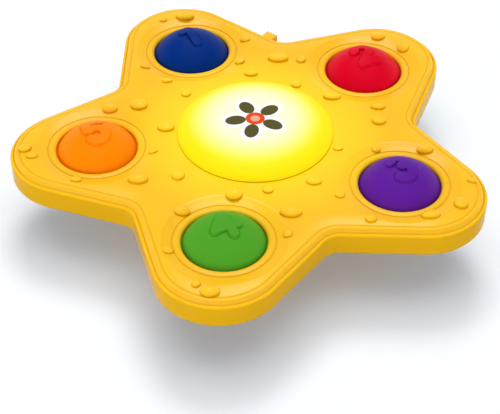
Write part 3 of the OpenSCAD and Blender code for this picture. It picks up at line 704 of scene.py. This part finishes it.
COLLAR_CREST = 1.5 * MM
COLLAR_GROOVE = 0.3 * MM
COLLAR_FALL = 0.55 * MM
COLLAR_FLANK = COLLAR_R - COLLAR_GROOVE - HOLE_R - COLLAR_CREST
COLLAR_OUTSIDE = [(HOLE_R + COLLAR_CREST + COLLAR_FLANK * p.x, Z_RIM - COLLAR_FALL * (1 - p.y))
                  for p in arc((0, 0), 1, 0, 90, 10)]
COLLAR_INSIDE = [(HOLE_R + COLLAR_CREST * (1 + p.x), Z_RIM - COLLAR_CREST * (1 - p.y))
                 for p in arc((0, 0), 1, 90, 180, 8)[1:]]
COLLAR_PROFILE = [(COLLAR_R - COLLAR_GROOVE / 3, Z_RIM - COLLAR_FALL)]
COLLAR_PROFILE += COLLAR_OUTSIDE + COLLAR_INSIDE + [(HOLE_R, Z_UNDER)]


def make_lid():
    bm = bmesh.new()
    half = half_field_edge()
    other = [Vector((p.x, -p.y)) for p in reversed(half[1:-1])]
    edge = [turned(p, FIRST_ARM) for p in half + other]
    loop = chain(bm, [(p.x, p.y, Z_FIELD) for p in edge], closed=True)
    centre = Vector((0, BUTTON_RING))
    for ring in range(FIELD_RINGS, 0, -1):
        def draw_in(co):
            arm = co.xy - centre
            reach = COLLAR_R + (arm.length - COLLAR_R) * (ring - 1) / ring
            flat = centre + arm.normalized() * reach
            return Vector((flat.x, flat.y, Z_FIELD))
        loop = extrude_loop(bm, loop, draw_in)
    for v in bm.verts:
        v.co.z = field_height(v.co, (v.co.xy - centre).length)
    for radius, z in COLLAR_PROFILE:
        loop = extrude_loop(bm, loop, to_radius(centre, radius, z))
    bmesh.ops.spin(bm, geom=bm.verts[:] + bm.edges[:] + bm.faces[:], cent=(0, 0, 0), axis=UP,
                   dvec=(0, 0, 0), angle=-ARM_STEP * (ARMS - 1), steps=ARMS - 1, use_duplicate=True)
    bmesh.ops.remove_doubles(bm, verts=bm.verts, dist=ARM_MERGE)
    lens_loop = rim_of(bm, lambda co: co.xy.length < LENS_HOLE_R + MM)
    for radius, z in rounded((LENS_HOLE_R, Z_FIELD - LENS_HOLE_ROUND), LENS_HOLE_ROUND, 90, 180)[1:]:
        lens_loop = extrude_loop(bm, lens_loop, to_radius((0, 0), radius, z))
    lens_loop = extrude_loop(bm, lens_loop, to_radius((0, 0), LENS_HOLE_R - LENS_HOLE_DRAFT, Z_UNDER))
    star_loop = rim_of(bm, lambda co: co.xy.length > LENS_HOLE_R + MM and co.z > Z_UNDER + MM)
    lip = [(FIELD_IN - CREASE_W / 2, Z_EDGE - CREASE_LIP), (FIELD_IN - CREASE_W, Z_EDGE - CREASE),
           (FIELD_IN - 1.5 * CREASE_W, Z_EDGE - CREASE_LIP),
           (LIP_CREST_IN + CREST_W, Z_CREST - CREST_FALL)]
    roll = [LIP_CREST_IN + (LIP_FOOT_IN - LIP_CREST_IN) * k / ROLL_STEPS for k in range(ROLL_STEPS)]
    lip += [(depth, lip_height(depth)) for depth in roll]
    lip += [(LIP_FOOT_IN, Z_LIP_FOOT), (TONGUE_IN, Z_LIP_FOOT), (TONGUE_IN, Z_UNDER)]
    for depth, z in lip:
        star_loop = extrude_loop(bm, star_loop, to_depth(depth, z))
    holes = rim_of(bm, lambda co: abs(co.z - Z_UNDER) < SAME_HEIGHT)
    fill_flat(bm, holes)
    shade_where(bm, lid_shade)
    return bm


lid = finish_piece("lid", make_lid(), "casing", "yellow_shell", "top_shell")

# Tub with its base drum
FIT = 0.1 * MM
BASE_ROUND = 1 * MM
DRUM_ROUND = 1.6 * MM
DRUM_FILLET = 1.2 * MM
SUPPORT = 0.4 * MM
SCREW_HEAD_R = 2.6 * MM
SCREW_SINK = 2.8 * MM
SCREW_TUBE_R = 4 * MM
SCREW_TUBE_H = 2.8 * MM
ARM_SCREW_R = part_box("case_screws")[1].y - SCREW_HEAD_R
VALLEY_SCREW_R = VALLEY_CENTRE.length - VALLEY_FILLET - TONGUE_IN - SCREW_TUBE_R - FIT
PLUG_HOLE_R = 7.1 * MM
GRILLE_R = 1.1 * MM
GRILLE_PITCH = 3 * GRILLE_R
GRILLE_RINGS = 2
DOOR_EAR = 9 * MM
DOOR_SINK = 1.9 * MM
SINK_CHAMFER = 0.3 * MM
BORE_CHAMFER = 0.2 * MM
SHOULDER_STEPS = 14
DRUM_STEPS = 160
HOLE_STEPS = 40


def star_loop_at(bm, inset, z):
    """Closed loop of edges round the whole star."""
    half = half_outline(inset)
    points = []
    for arm in range(ARMS):
        turn = FIRST_ARM + arm * ARM_STEP
        points += [turned((p.x, -p.y), turn) for p in reversed(half[1:])]
        points += [turned(p, turn) for p in half[:-1]]
    return chain(bm, [(p.x, p.y, z) for p in points], closed=True)


def screw_places():
    """Centres of the ten case screws."""
    ways = [(FIRST_ARM + k * ARM_STEP, ARM_SCREW_R) for k in range(ARMS)]
    ways += [(FIRST_ARM + (k + 0.5) * ARM_STEP, VALLEY_SCREW_R) for k in range(ARMS)]
    return [turned((reach, 0), turn) for turn, reach in ways]


def grille_places():
    """Centres of the sound holes: one in the middle and rings of six and twelve."""
    low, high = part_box("speaker_frame")
    middle = Vector((0, (low.y + high.y) / 2))
    places = [middle]
    for ring in range(1, GRILLE_RINGS + 1):
        count = 6 * ring
        places += [middle + turned((ring * GRILLE_PITCH, 0), math.tau * k / count) for k in range(count)]
    return places


def round_run(bm, centre, start, profile, steps):
    """Round loop drawn along a profile of (radius, height) pairs: its first and its last edges."""
    first = circle_loop(bm, centre, *start, steps)
    last = first
    for radius, z in profile:
        last = extrude_loop(bm, last, to_radius(centre, radius, z))
    return first, last


def close_loop(bm, loop):
    bmesh.ops.contextual_create(bm, geom=loop)


def door_opening(bm):
    """Recess that takes the battery door and its ear."""
    low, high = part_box("battery_door")
    west, east = low.x - FIT, FIT - low.x
    south, north, ear = low.y - FIT, high.y + FIT, high.x + FIT
    mid = (south + north) / 2
    corners = [(west, south), (east, south), (east, mid - DOOR_EAR / 2), (ear, mid - DOOR_EAR / 2),
               (ear, mid + DOOR_EAR / 2), (east, mid + DOOR_EAR / 2), (east, north), (west, north)]
    rim = chain(bm, [(x, y, Z_DRUM) for x, y in corners], closed=True)
    foot = extrude_loop(bm, rim, lambda co: Vector((co.x, co.y, Z_DRUM + DOOR_SINK)))
    close_loop(bm, foot)
    return rim


def make_tub():
    bm = bmesh.new()
    floor_loop = star_loop_at(bm, WALL, Z_FLOOR)
    wall = [(WALL, Z_LIP_FOOT - SEAM), (SHOULDER_W, Z_LIP_FOOT - SEAM)]
    wall += [(SHOULDER_W * (1 - p.x), Z_SHOULDER + SHOULDER_H * (p.y - 1))
             for p in arc((0, 0), 1, 90, 0, SHOULDER_STEPS)]
    wall += [(0, Z_SHOULDER - SHOULDER_H - SUPPORT), (0, Z_TUB + BASE_ROUND + SUPPORT)]
    wall += [(BASE_ROUND - p.x, p.y) for p in arc((0, Z_TUB + BASE_ROUND), BASE_ROUND, 0, -90, 10)]
    wall += [(BASE_ROUND + SUPPORT, Z_TUB)]
    under = floor_loop
    for depth, z in wall:
        under = extrude_loop(bm, under, to_depth(depth, z))

    foot_r = DRUM_R + DRUM_FILLET
    drum = rounded((foot_r, Z_TUB - DRUM_FILLET), DRUM_FILLET, 90, 180)
    drum += rounded((DRUM_R - DRUM_ROUND, Z_DRUM + DRUM_ROUND), DRUM_ROUND, 0, -90, 8)
    drum += [(DRUM_R - DRUM_ROUND - SUPPORT, Z_DRUM)]
    drum_foot, drum_base = round_run(bm, (0, 0), (foot_r + SUPPORT, Z_TUB), drum, DRUM_STEPS)
    well = [(DRUM_R - WALL, Z_DRUM_FLOOR)]
    drum_mouth, drum_floor = round_run(bm, (0, 0), (DRUM_R - WALL, Z_FLOOR), well, DRUM_STEPS)

    under_loops, floor_loops = [under, drum_foot], [floor_loop, drum_mouth]
    sink_r = SCREW_HEAD_R + FIT
    for place_xy in screw_places():
        sink = [(sink_r, Z_TUB + SINK_CHAMFER), (sink_r, Z_TUB + SCREW_SINK)]
        mouth, seat = round_run(bm, place_xy, (sink_r + SINK_CHAMFER, Z_TUB), sink, HOLE_STEPS)
        close_loop(bm, seat)
        under_loops.append(mouth)
        tube = [(SCREW_TUBE_R, Z_FLOOR + SCREW_TUBE_H)]
        foot, top = round_run(bm, place_xy, (SCREW_TUBE_R, Z_FLOOR), tube, HOLE_STEPS)
        close_loop(bm, top)
        floor_loops.append(foot)
    fill_flat(bm, *under_loops)
    fill_flat(bm, *floor_loops)

    base_loops, inner_loops = [drum_base, door_opening(bm)], [drum_floor]
    holes = [(p, GRILLE_R) for p in grille_places()] + [(Vector((0, 0)), PLUG_HOLE_R)]
    for centre, radius in holes:
        bore = [(radius, Z_DRUM + BORE_CHAMFER), (radius, Z_DRUM_FLOOR)]
        low_rim, high_rim = round_run(bm, centre, (radius + BORE_CHAMFER, Z_DRUM), bore, HOLE_STEPS)
        base_loops.append(low_rim)
        inner_loops.append(high_rim)
    fill_flat(bm, *base_loops)
    fill_flat(bm, *inner_loops)
    return bm


# Slot of the slide switch in the tub's wall
FLANK_FRAME = Matrix.Rotation(math.pi / 2 + FLANK_A, 4, "Z") @ Matrix.Translation((0, -FLANK_D, 0))
SLOT_LEN = 12.3 * MM
SLOT_FROM_VALLEY = 12 * MM
SLOT_ROOM = 0.4 * MM
SLOT_MID_X = VALLEY_R * math.cos(NOTCH_HALF) + SLOT_FROM_VALLEY
SLOT_FOOT_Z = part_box("switch_knob")[0].z - SLOT_ROOM


def slot_cutter():
    bm = bmesh.new()
    height = 2 * (Z_SHOULDER - SLOT_FOOT_Z)
    shape = Matrix.Diagonal((SLOT_LEN, 4 * WALL, height, 1))
    spot = FLANK_FRAME @ Matrix.Translation((SLOT_MID_X, 0, Z_SHOULDER))
    bmesh.ops.create_cube(bm, size=1, matrix=spot @ shape)
    return bm


def cut_away(piece, cutter):
    """Takes a closed shape out of a piece."""
    mesh = bpy.data.meshes.new("cutter")
    cutter.to_mesh(mesh)
    cutter.free()
    tool = bpy.data.objects.new("cutter", mesh)
    bpy.context.collection.objects.link(tool)
    modifier = piece.modifiers.new("cut", "BOOLEAN")
    modifier.object = tool
    modifier.solver = "EXACT"
    shown = piece.evaluated_get(bpy.context.evaluated_depsgraph_get())
    piece.data = bpy.data.meshes.new_from_object(shown)
    piece.modifiers.clear()
    piece.data.set_sharp_from_angle(angle=SHARP)
    bpy.data.objects.remove(tool)


tub = finish_piece("tub", make_tub(), "casing", "yellow_shell", "bottom_shell",
                   finish=shell_finish("yellow_wall", WALL_SHEEN))
cut_away(tub, slot_cutter())


# Lens
LENS_SEAM = 0.3 * MM
LENS_BEND = 0.8
LENS_EDGE_DROP = 0.15 * MM
LENS_FLANGE_T = 1.5 * MM
PILLOW_STEPS = 64
LENS_TURN_STEPS = 192


def make_lens():
    bm = bmesh.new()
    edge_r = LENS_HOLE_R - LENS_SEAM
    rise = Z_LENS_TOP - Z_FIELD
    inner_r = edge_r - LENS_WALL

    def pillow(reach, height):
        """Profile of a cap that is fuller near its edge than a ball's."""
        bend = [math.pi / 2 * k / PILLOW_STEPS for k in range(PILLOW_STEPS + 1)]
        return [(reach * math.sin(a) ** LENS_BEND, Z_FIELD + height * math.cos(a) ** LENS_BEND)
                for a in bend]

    dome = pillow(edge_r, rise)[:-1]
    vault = pillow(inner_r, rise - LENS_WALL)[::-1]
    rim = [(edge_r, Z_FIELD - LENS_EDGE_DROP)]
    z_flange = Z_LENS_FOOT + LENS_FLANGE_T
    flange = [(edge_r, z_flange), (LENS_FLANGE_R, z_flange), (LENS_FLANGE_R, Z_LENS_FOOT),
              (inner_r, Z_LENS_FOOT)]
    revolve(bm, (0, 0), dome + rim + flange + vault, LENS_TURN_STEPS)
    return bm


finish_piece("lens", make_lens(), "casing", "lens", "light_lens")

# Button caps with raised numerals, whose strokes are in millimetres from the middle of a cap
STROKE_HALF = 1.9
STROKE_EDGE = 0.2
RELIEF = 0.8 * MM
MOAT = 0.3 * MM
MOAT_FROM, MOAT_W = 2, 2
NUMERAL_REACH = 10.6 * MM
CAP_FINE, CAP_COARSE, CAP_VAULT_STEPS, CAP_TURN_STEPS = 53, 14, 12, 256
ON_DOME = 0.001 * MM
SHORTEST = 1e-9
NUMERALS = [
    [[(-2.6, 3.6), (0.5, 5.4), (0.5, -5.4)]],
    [arc((0, 2.3), 3.3, 170, -35, 16) + [Vector((-3.5, -5.2)), Vector((3.7, -5.2))]],
    [arc((-0.2, 2.8), 2.8, 150, -80, 14), arc((-0.2, -2.5), 3.3, 80, -150, 14)],
    [[(1.6, -5.6), (1.6, 5.6), (-4.3, -1.6), (4.6, -1.6)]],
    [[(3.4, 6.1), (-2.4, 6.1), (-3, 1.2)] + arc((-0.2, -2), 3.5, 130, -150, 18)],
]


def distance_to_strokes(points, strokes):
    """Distance of each point, in millimetres, to the nearest stroke of a numeral."""
    nearest = np.full(len(points), np.inf)
    for stroke in strokes:
        for start, end in zip(stroke, stroke[1:]):
            a, b = np.array(start), np.array(end)
            share = np.clip((points - a) @ (b - a) / max((b - a) @ (b - a), SHORTEST), 0, 1)
            gap = np.linalg.norm(points - a - share[:, None] * (b - a), axis=1)
            nearest = np.minimum(nearest, gap)
    return nearest


def make_cap(number):
    bm = bmesh.new()
    centre = button_centres[number].xy
    rise = Z_DOME_TOP - Z_DOME
    ball = (CAP_R ** 2 + rise ** 2) / (2 * rise)
    z_ball = Z_DOME_TOP - ball
    reach = [NUMERAL_REACH * k / CAP_FINE for k in range(CAP_FINE)]
    reach += [NUMERAL_REACH + (CAP_R - NUMERAL_REACH) * k / CAP_COARSE for k in range(CAP_COARSE + 1)]
    dome = [(r, z_ball + math.sqrt(ball ** 2 - r ** 2)) for r in reach]
    inner_r = CAP_R - CAP_WALL
    hollow = ball - CAP_WALL
    bend = [inner_r + (PLUNGER_R - inner_r) * k / CAP_VAULT_STEPS for k in range(CAP_VAULT_STEPS + 1)]
    vault = [(r, z_ball + math.sqrt(hollow ** 2 - r ** 2)) for r in bend]
    z_step = Z_FLANGE + FLANGE_T
    skirt = [(CAP_R, z_step), (FLANGE_R, z_step), (FLANGE_R, Z_FLANGE), (inner_r, Z_FLANGE),
             (inner_r, Z_DOME)]
    stalk = [(PLUNGER_R, Z_FLANGE), (0, Z_FLANGE)]
    revolve(bm, centre, dome + skirt + vault + stalk, CAP_TURN_STEPS)
    crown = [v for v in bm.verts if (v.co - Vector((*centre, z_ball))).length > ball - ON_DOME
             and (v.co.xy - centre).length < NUMERAL_REACH]
    flat = np.array([(v.co.xy - centre) / MM for v in crown])
    gaps = distance_to_strokes(flat, NUMERALS[number])
    for v, gap in zip(crown, gaps):
        past = (gap - STROKE_HALF) / STROKE_EDGE
        moat = smooth_step(past) * (1 - smooth_step((past - MOAT_FROM) / MOAT_W))
        v.co.z += RELIEF * (1 - smooth_step(past)) - MOAT * moat
    return bm


for number, (node, colour) in enumerate(zip(CAPS, COLOURS)):
    finish_piece(f"cap_{number + 1}_{colour}", make_cap(number), f"{colour}_button",
                 f"button_{colour}", node)

# Return pads under the caps
PAD_SKIN = 1 * MM
PAD_ROUND = 0.3 * MM
PAD_STEPS = 64


def make_pad(number):
    bm = bmesh.new()
    node = f"button_pad_{number + 1}"
    low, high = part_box(node)
    centre = (low + high) / 2
    foot_r = (high.x - low.x) / 2
    head = [(0, high.z), (PLUNGER_R - PAD_ROUND, high.z), (PLUNGER_R, high.z - PAD_ROUND),
            (PLUNGER_R, high.z - PAD_SKIN)]
    foot = [(foot_r - 2 * PAD_SKIN, low.z + PAD_SKIN), (foot_r - PAD_ROUND, low.z + PAD_SKIN),
            (foot_r, low.z + PAD_SKIN - PAD_ROUND), (foot_r, low.z), (foot_r - 3 * PAD_SKIN, low.z)]
    inside = [(PLUNGER_R - PAD_SKIN, high.z - 2 * PAD_SKIN), (0, high.z - 2 * PAD_SKIN)]
    revolve(bm, centre, head + foot + inside, PAD_STEPS)
    piece = finish_piece(f"pad_{number + 1}", bm, "casing", "silicone", node)
    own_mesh(piece)


for number in range(ARMS):
    make_pad(number)

# Suction cup
CUP_SEAL_W = 3 * MM
CUP_RIM_H = 1 * MM
CUP_HOLLOW_H = 7 * MM
CUP_CROWN_Z = 10.5 * MM
NECK_R = 12 * MM
NECK_FLARE = 5 * MM
PLUG_R = 7 * MM
PLUG_HEAD_R = 9.5 * MM
CUP_EDGE_IN, CUP_EDGE_H = 0.4 * MM, 0.3 * MM
NECK_CHAMFER = 0.3 * MM
PLUG_CHAMFER = 1 * MM
TAB_W = 12 * MM
TAB_T = 1.6 * MM
TAB_ROUND = 4 * MM
CUP_STEPS, NECK_STEPS, CUP_TURN_STEPS = 30, 8, 160


def make_cup():
    bm = bmesh.new()
    rise = CUP_CROWN_Z - CUP_RIM_H
    ball = (CUP_R ** 2 + rise ** 2) / (2 * rise)
    inner_r = CUP_R - CUP_SEAL_W
    hollow = (inner_r ** 2 + CUP_HOLLOW_H ** 2) / (2 * CUP_HOLLOW_H)

    def crown_z(r):
        return CUP_CROWN_Z - ball + math.sqrt(ball ** 2 - r ** 2)

    def hollow_z(r):
        return CUP_HOLLOW_H - hollow + math.sqrt(hollow ** 2 - r ** 2)

    vault = [(inner_r * k / CUP_STEPS, hollow_z(inner_r * k / CUP_STEPS)) for k in range(CUP_STEPS)]
    seal = [(inner_r, 0), (CUP_R - CUP_EDGE_IN, 0), (CUP_R, CUP_EDGE_H)]
    flare_r = NECK_R + NECK_FLARE
    crown_r = [CUP_R + (flare_r - CUP_R) * k / CUP_STEPS for k in range(CUP_STEPS + 1)]
    crown = [(r, crown_z(r)) for r in crown_r]
    foot = Vector(crown[-1])
    bend = Vector((NECK_R, crown_z(NECK_R)))
    top = Vector((NECK_R, Z_DRUM - NECK_CHAMFER))
    shares = [k / NECK_STEPS for k in range(1, NECK_STEPS + 1)]
    neck = [tuple(foot.lerp(bend, t).lerp(bend.lerp(top, t), t)) for t in shares]
    plug = [(NECK_R - NECK_CHAMFER, Z_DRUM), (PLUG_R, Z_DRUM), (PLUG_R, Z_DRUM_FLOOR),
            (PLUG_HEAD_R, Z_DRUM_FLOOR), (PLUG_HEAD_R, Z_PLUG_TOP - PLUG_CHAMFER),
            (PLUG_HEAD_R - PLUG_CHAMFER, Z_PLUG_TOP), (0, Z_PLUG_TOP)]
    revolve(bm, (0, 0), vault + seal + crown + neck + plug, CUP_TURN_STEPS)

    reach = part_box("suction_cup")[1].y
    start = CUP_R - CUP_SEAL_W / 2
    shape = Matrix.Diagonal((TAB_W, reach - start, TAB_T, 1))
    spot = Matrix.Translation((0, (start + reach) / 2, TAB_T / 2))
    made = bmesh.ops.create_cube(bm, size=1, matrix=spot @ shape)
    corners = [e for e in once(e for v in made["verts"] for e in v.link_edges)
               if all(v.co.y > CUP_R for v in e.verts)
               and abs(e.verts[0].co.z - e.verts[1].co.z) > TAB_T / 2]
    bmesh.ops.bevel(bm, geom=corners, offset=TAB_ROUND, segments=8, profile=0.5, affect="EDGES",
                    material=-1)
    return bm


finish_piece("cup", make_cup(), "casing", "cup_silicone", "suction_cup")


# Rigid pieces with softened edges
COPY_MERGE = 0.001 * MM
FLAT_ENOUGH = math.radians(1)
KNOB_SOFT = 0.3 * MM
DOOR_SOFT = 0.25 * MM
DOOR_SCREW_SOFT = 0.12 * MM
SCREW_SOFT = 0.15 * MM
SCREW_SEGMENTS = 2


def make_softened(node, width, segments=3):
    """Copy of a solid with its sharp edges rounded."""
    bm = bmesh.new()
    bm.from_mesh(frame["nodes"][node].data)
    bmesh.ops.remove_doubles(bm, verts=bm.verts, dist=COPY_MERGE)
    bmesh.ops.dissolve_limit(bm, angle_limit=FLAT_ENOUGH, verts=bm.verts[:], edges=bm.edges[:])
    sharp = [e for e in bm.edges if e.is_manifold and e.calc_face_angle() > SHARP]
    bmesh.ops.bevel(bm, geom=sharp, offset=width, segments=segments, profile=0.5, affect="EDGES",
                    clamp_overlap=True, material=-1)
    return bm


finish_piece("knob", make_softened("switch_knob", KNOB_SOFT), "power_knob", "yellow_shell",
             "switch_knob")
finish_piece("door", make_softened("battery_door", DOOR_SOFT), "casing", "yellow_shell",
             "battery_door")
finish_piece("door_screw", make_softened("battery_door_screw", DOOR_SCREW_SOFT, SCREW_SEGMENTS),
             "casing", "steel", "battery_door_screw")
finish_piece("shell_screws", make_softened("case_screws", SCREW_SOFT, SCREW_SEGMENTS),
             "casing", "steel", "case_screws")

# Droplet bumps: picture column and row, width in picture pixels, and depth over width
ROUND, OVAL, FLAT = 1.0, 0.65, 0.6
DROPLETS = [
    (163, 20, 7, ROUND), (185, 17, 16, OVAL), (145, 67, 9, FLAT), (167, 81, 10, FLAT),
    (186, 94, 9, ROUND), (139, 106, 15, 0.85), (110, 109, 14, OVAL), (166, 128, 15, 0.75),
    (153, 152, 9, FLAT), (25, 149, 12, 0.8), (32, 156, 11, OVAL), (76, 180, 10, 0.8),
    (138, 180, 18, OVAL), (178, 176, 12, ROUND), (234, 195, 15, 0.9), (268, 190, 10, ROUND),
    (314, 182, 14, OVAL), (340, 195, 9, ROUND), (291, 213, 20, OVAL), (288, 234, 9, ROUND),
    (182, 212, 15, OVAL), (168, 251, 10, 0.8), (196, 284, 9, ROUND), (210, 292, 18, 0.75),
    (245, 40, 9, FLAT), (240, 62, 9, ROUND), (278, 59, 18, FLAT), (301, 60, 9, ROUND),
    (251, 74, 12, OVAL), (296, 85, 9, ROUND), (332, 97, 16, FLAT), (378, 107, 13, OVAL),
    (379, 121, 13, 0.9), (378, 37, 12, OVAL), (403, 48, 11, ROUND), (338, 149, 9, FLAT),
    (376, 149, 9, ROUND), (425, 150, 15, OVAL), (472, 181, 9, OVAL), (461, 204, 13, ROUND),
    (431, 216, 17, OVAL), (371, 219, 11, 0.8),
]
DROPLET_RISE = 0.27
DROPLET_SINK = 0.4
DROPLET_LIFT = 0.3
DROPLET_GROWTH = 1.15
# Unit heights between which the droplets' painted shade deepens towards the foot
DROPLET_CLEAR_Z, DROPLET_DARK_Z = 0.85, 0.35
DROPLET_BOW = (90, -40)
DROPLET_BOW_STEPS, DROPLET_TURN_STEPS = 14, 28


def droplet_shade(co):
    """Painted shade, darker towards the foot of a droplet of unit size."""
    return smooth_step((DROPLET_CLEAR_Z - co.z) / (DROPLET_CLEAR_Z - DROPLET_DARK_Z))


def make_droplets():
    """Low moulded domes, each seated where the camera's ray through its pixel meets the lid."""
    bm = bmesh.new()
    top = BVHTree.FromPolygons([v.co for v in lid.data.vertices],
                               [p.vertices for p in lid.data.polygons])
    eye = camera.matrix_world.translation
    turn = camera.matrix_world.to_3x3()
    focal = CAMERA_LENS / SENSOR_W * PICTURE_W
    bow = rounded((0, DROPLET_LIFT), 1, *DROPLET_BOW, DROPLET_BOW_STEPS)
    for column, row, width, ratio in DROPLETS:
        ray = turn @ Vector((column - PICTURE_W / 2, PICTURE_H / 2 - row, -focal))
        seat, up, _, reach = top.ray_cast(eye, ray.normalized())
        across = DROPLET_GROWTH * width / 2 * reach / focal
        side = turn.col[0] - up * turn.col[0].dot(up)
        side.normalize()
        facing = Matrix((side, up.cross(side), up)).transposed().to_4x4()
        rise = DROPLET_RISE * 2 * across * math.sqrt(ratio)
        drop = bmesh.new()
        foot = [(bow[-1][0], -DROPLET_SINK), (0, -DROPLET_SINK)]
        revolve(drop, (0, 0), bow + foot, DROPLET_TURN_STEPS)
        shade_where(drop, droplet_shade)
        shape = Matrix.Diagonal((across, across * ratio, rise, 1))
        bmesh.ops.transform(drop, matrix=Matrix.Translation(seat) @ facing @ shape, verts=drop.verts)
        mesh = bpy.data.meshes.new("droplet")
        drop.to_mesh(mesh)
        drop.free()
        bm.from_mesh(mesh)
        bpy.data.meshes.remove(mesh)
    return bm


finish_piece("droplets", make_droplets(), "casing", "yellow_shell")


# Stage and light
FLOOR_SEEN = (0.94, 0.97, 1, 1)
FLOOR_BOUNCE = (0.12, 0.12, 0.12, 1)
FLOOR_LIFT = (0.03, 0.05, 0.08, 1)
HORIZON_FILL = (3.8, 3.8, 3.8, 1)
ZENITH_FILL = (0.35, 0.35, 0.35, 1)
HORIZON_TOP, ZENITH_FOOT = 0.05, 0.3
FLOOR_HALF = 6
SOFTBOX_AIM = Vector((0, 0, 0))
SOFTBOXES = [
    ("overhead", (0, 0, 2), 2, 17),
    ("back", (0.44, 0.92, 2), 0.8, 14),
    ("front", (-1, -0.6, 0.3), 0.8, 2),
]


def make_floor():
    """Pale floor that stays white in the picture and takes the shadow."""
    bm = bmesh.new()
    bmesh.ops.create_grid(bm, x_segments=1, y_segments=1, size=FLOOR_HALF)
    mesh = bpy.data.meshes.new("floor")
    bm.to_mesh(mesh)
    bm.free()
    material = bpy.data.materials.new("floor")
    material.use_nodes = True
    tree = material.node_tree
    tree.nodes.clear()
    path = place(tree, "ShaderNodeLightPath").outputs
    mirrored = maths(tree, "MAXIMUM", path["Is Glossy Ray"], path["Is Transmission Ray"])
    seen = maths(tree, "MAXIMUM", path["Is Camera Ray"], mirrored)
    tone = mixed(tree, seen, FLOOR_BOUNCE, FLOOR_SEEN)
    matt = place(tree, "ShaderNodeBsdfDiffuse", {"Color": tone})
    lift = place(tree, "ShaderNodeEmission", {"Color": FLOOR_LIFT, "Strength": seen})
    both = place(tree, "ShaderNodeAddShader", {0: matt.outputs[0], 1: lift.outputs[0]})
    under = place(tree, "ShaderNodeNewGeometry").outputs["Backfacing"]
    clear = place(tree, "ShaderNodeBsdfTransparent")
    sheet = place(tree, "ShaderNodeMixShader", {0: under, 1: both.outputs[0], 2: clear.outputs[0]})
    place(tree, "ShaderNodeOutputMaterial", {"Surface": sheet.outputs[0]})
    mesh.materials.append(material)
    floor = bpy.data.objects.new("floor", mesh)
    bpy.context.collection.objects.link(floor)


def make_world():
    """White to the eye and in reflections, and a fill that is strongest near the horizon."""
    world = bpy.data.worlds.new("studio")
    world.use_nodes = True
    bpy.context.scene.world = world
    tree = world.node_tree
    tree.nodes.clear()
    path = place(tree, "ShaderNodeLightPath").outputs
    view = place(tree, "ShaderNodeTexCoord").outputs["Generated"]
    height = place(tree, "ShaderNodeSeparateXYZ", {"Vector": view}).outputs["Z"]
    fill = mixed(tree, ramp(tree, height, HORIZON_TOP, ZENITH_FOOT), HORIZON_FILL, ZENITH_FILL)
    mirrored = maths(tree, "MAXIMUM", path["Is Glossy Ray"], path["Is Transmission Ray"])
    shown = maths(tree, "MAXIMUM", path["Is Camera Ray"], mirrored)
    tone = mixed(tree, shown, fill, WHITE)
    both = place(tree, "ShaderNodeBackground", {"Color": tone, "Strength": 1})
    place(tree, "ShaderNodeOutputWorld", {"Surface": both.outputs[0]})


def make_softbox(name, spot, size, watts):
    """Square lamp that points at the foot of the toy."""
    data = bpy.data.lights.new(name, "AREA")
    data.shape = "SQUARE"
    data.size = size
    data.energy = watts
    lamp = bpy.data.objects.new(name, data)
    bpy.context.collection.objects.link(lamp)
    lamp.location = spot
    lamp.rotation_euler = (SOFTBOX_AIM - Vector(spot)).to_track_quat("-Z", "Y").to_euler()


make_floor()
make_world()
for softbox in SOFTBOXES:
    make_softbox(*softbox)
bpy.context.scene.view_settings.view_transform = "Standard"
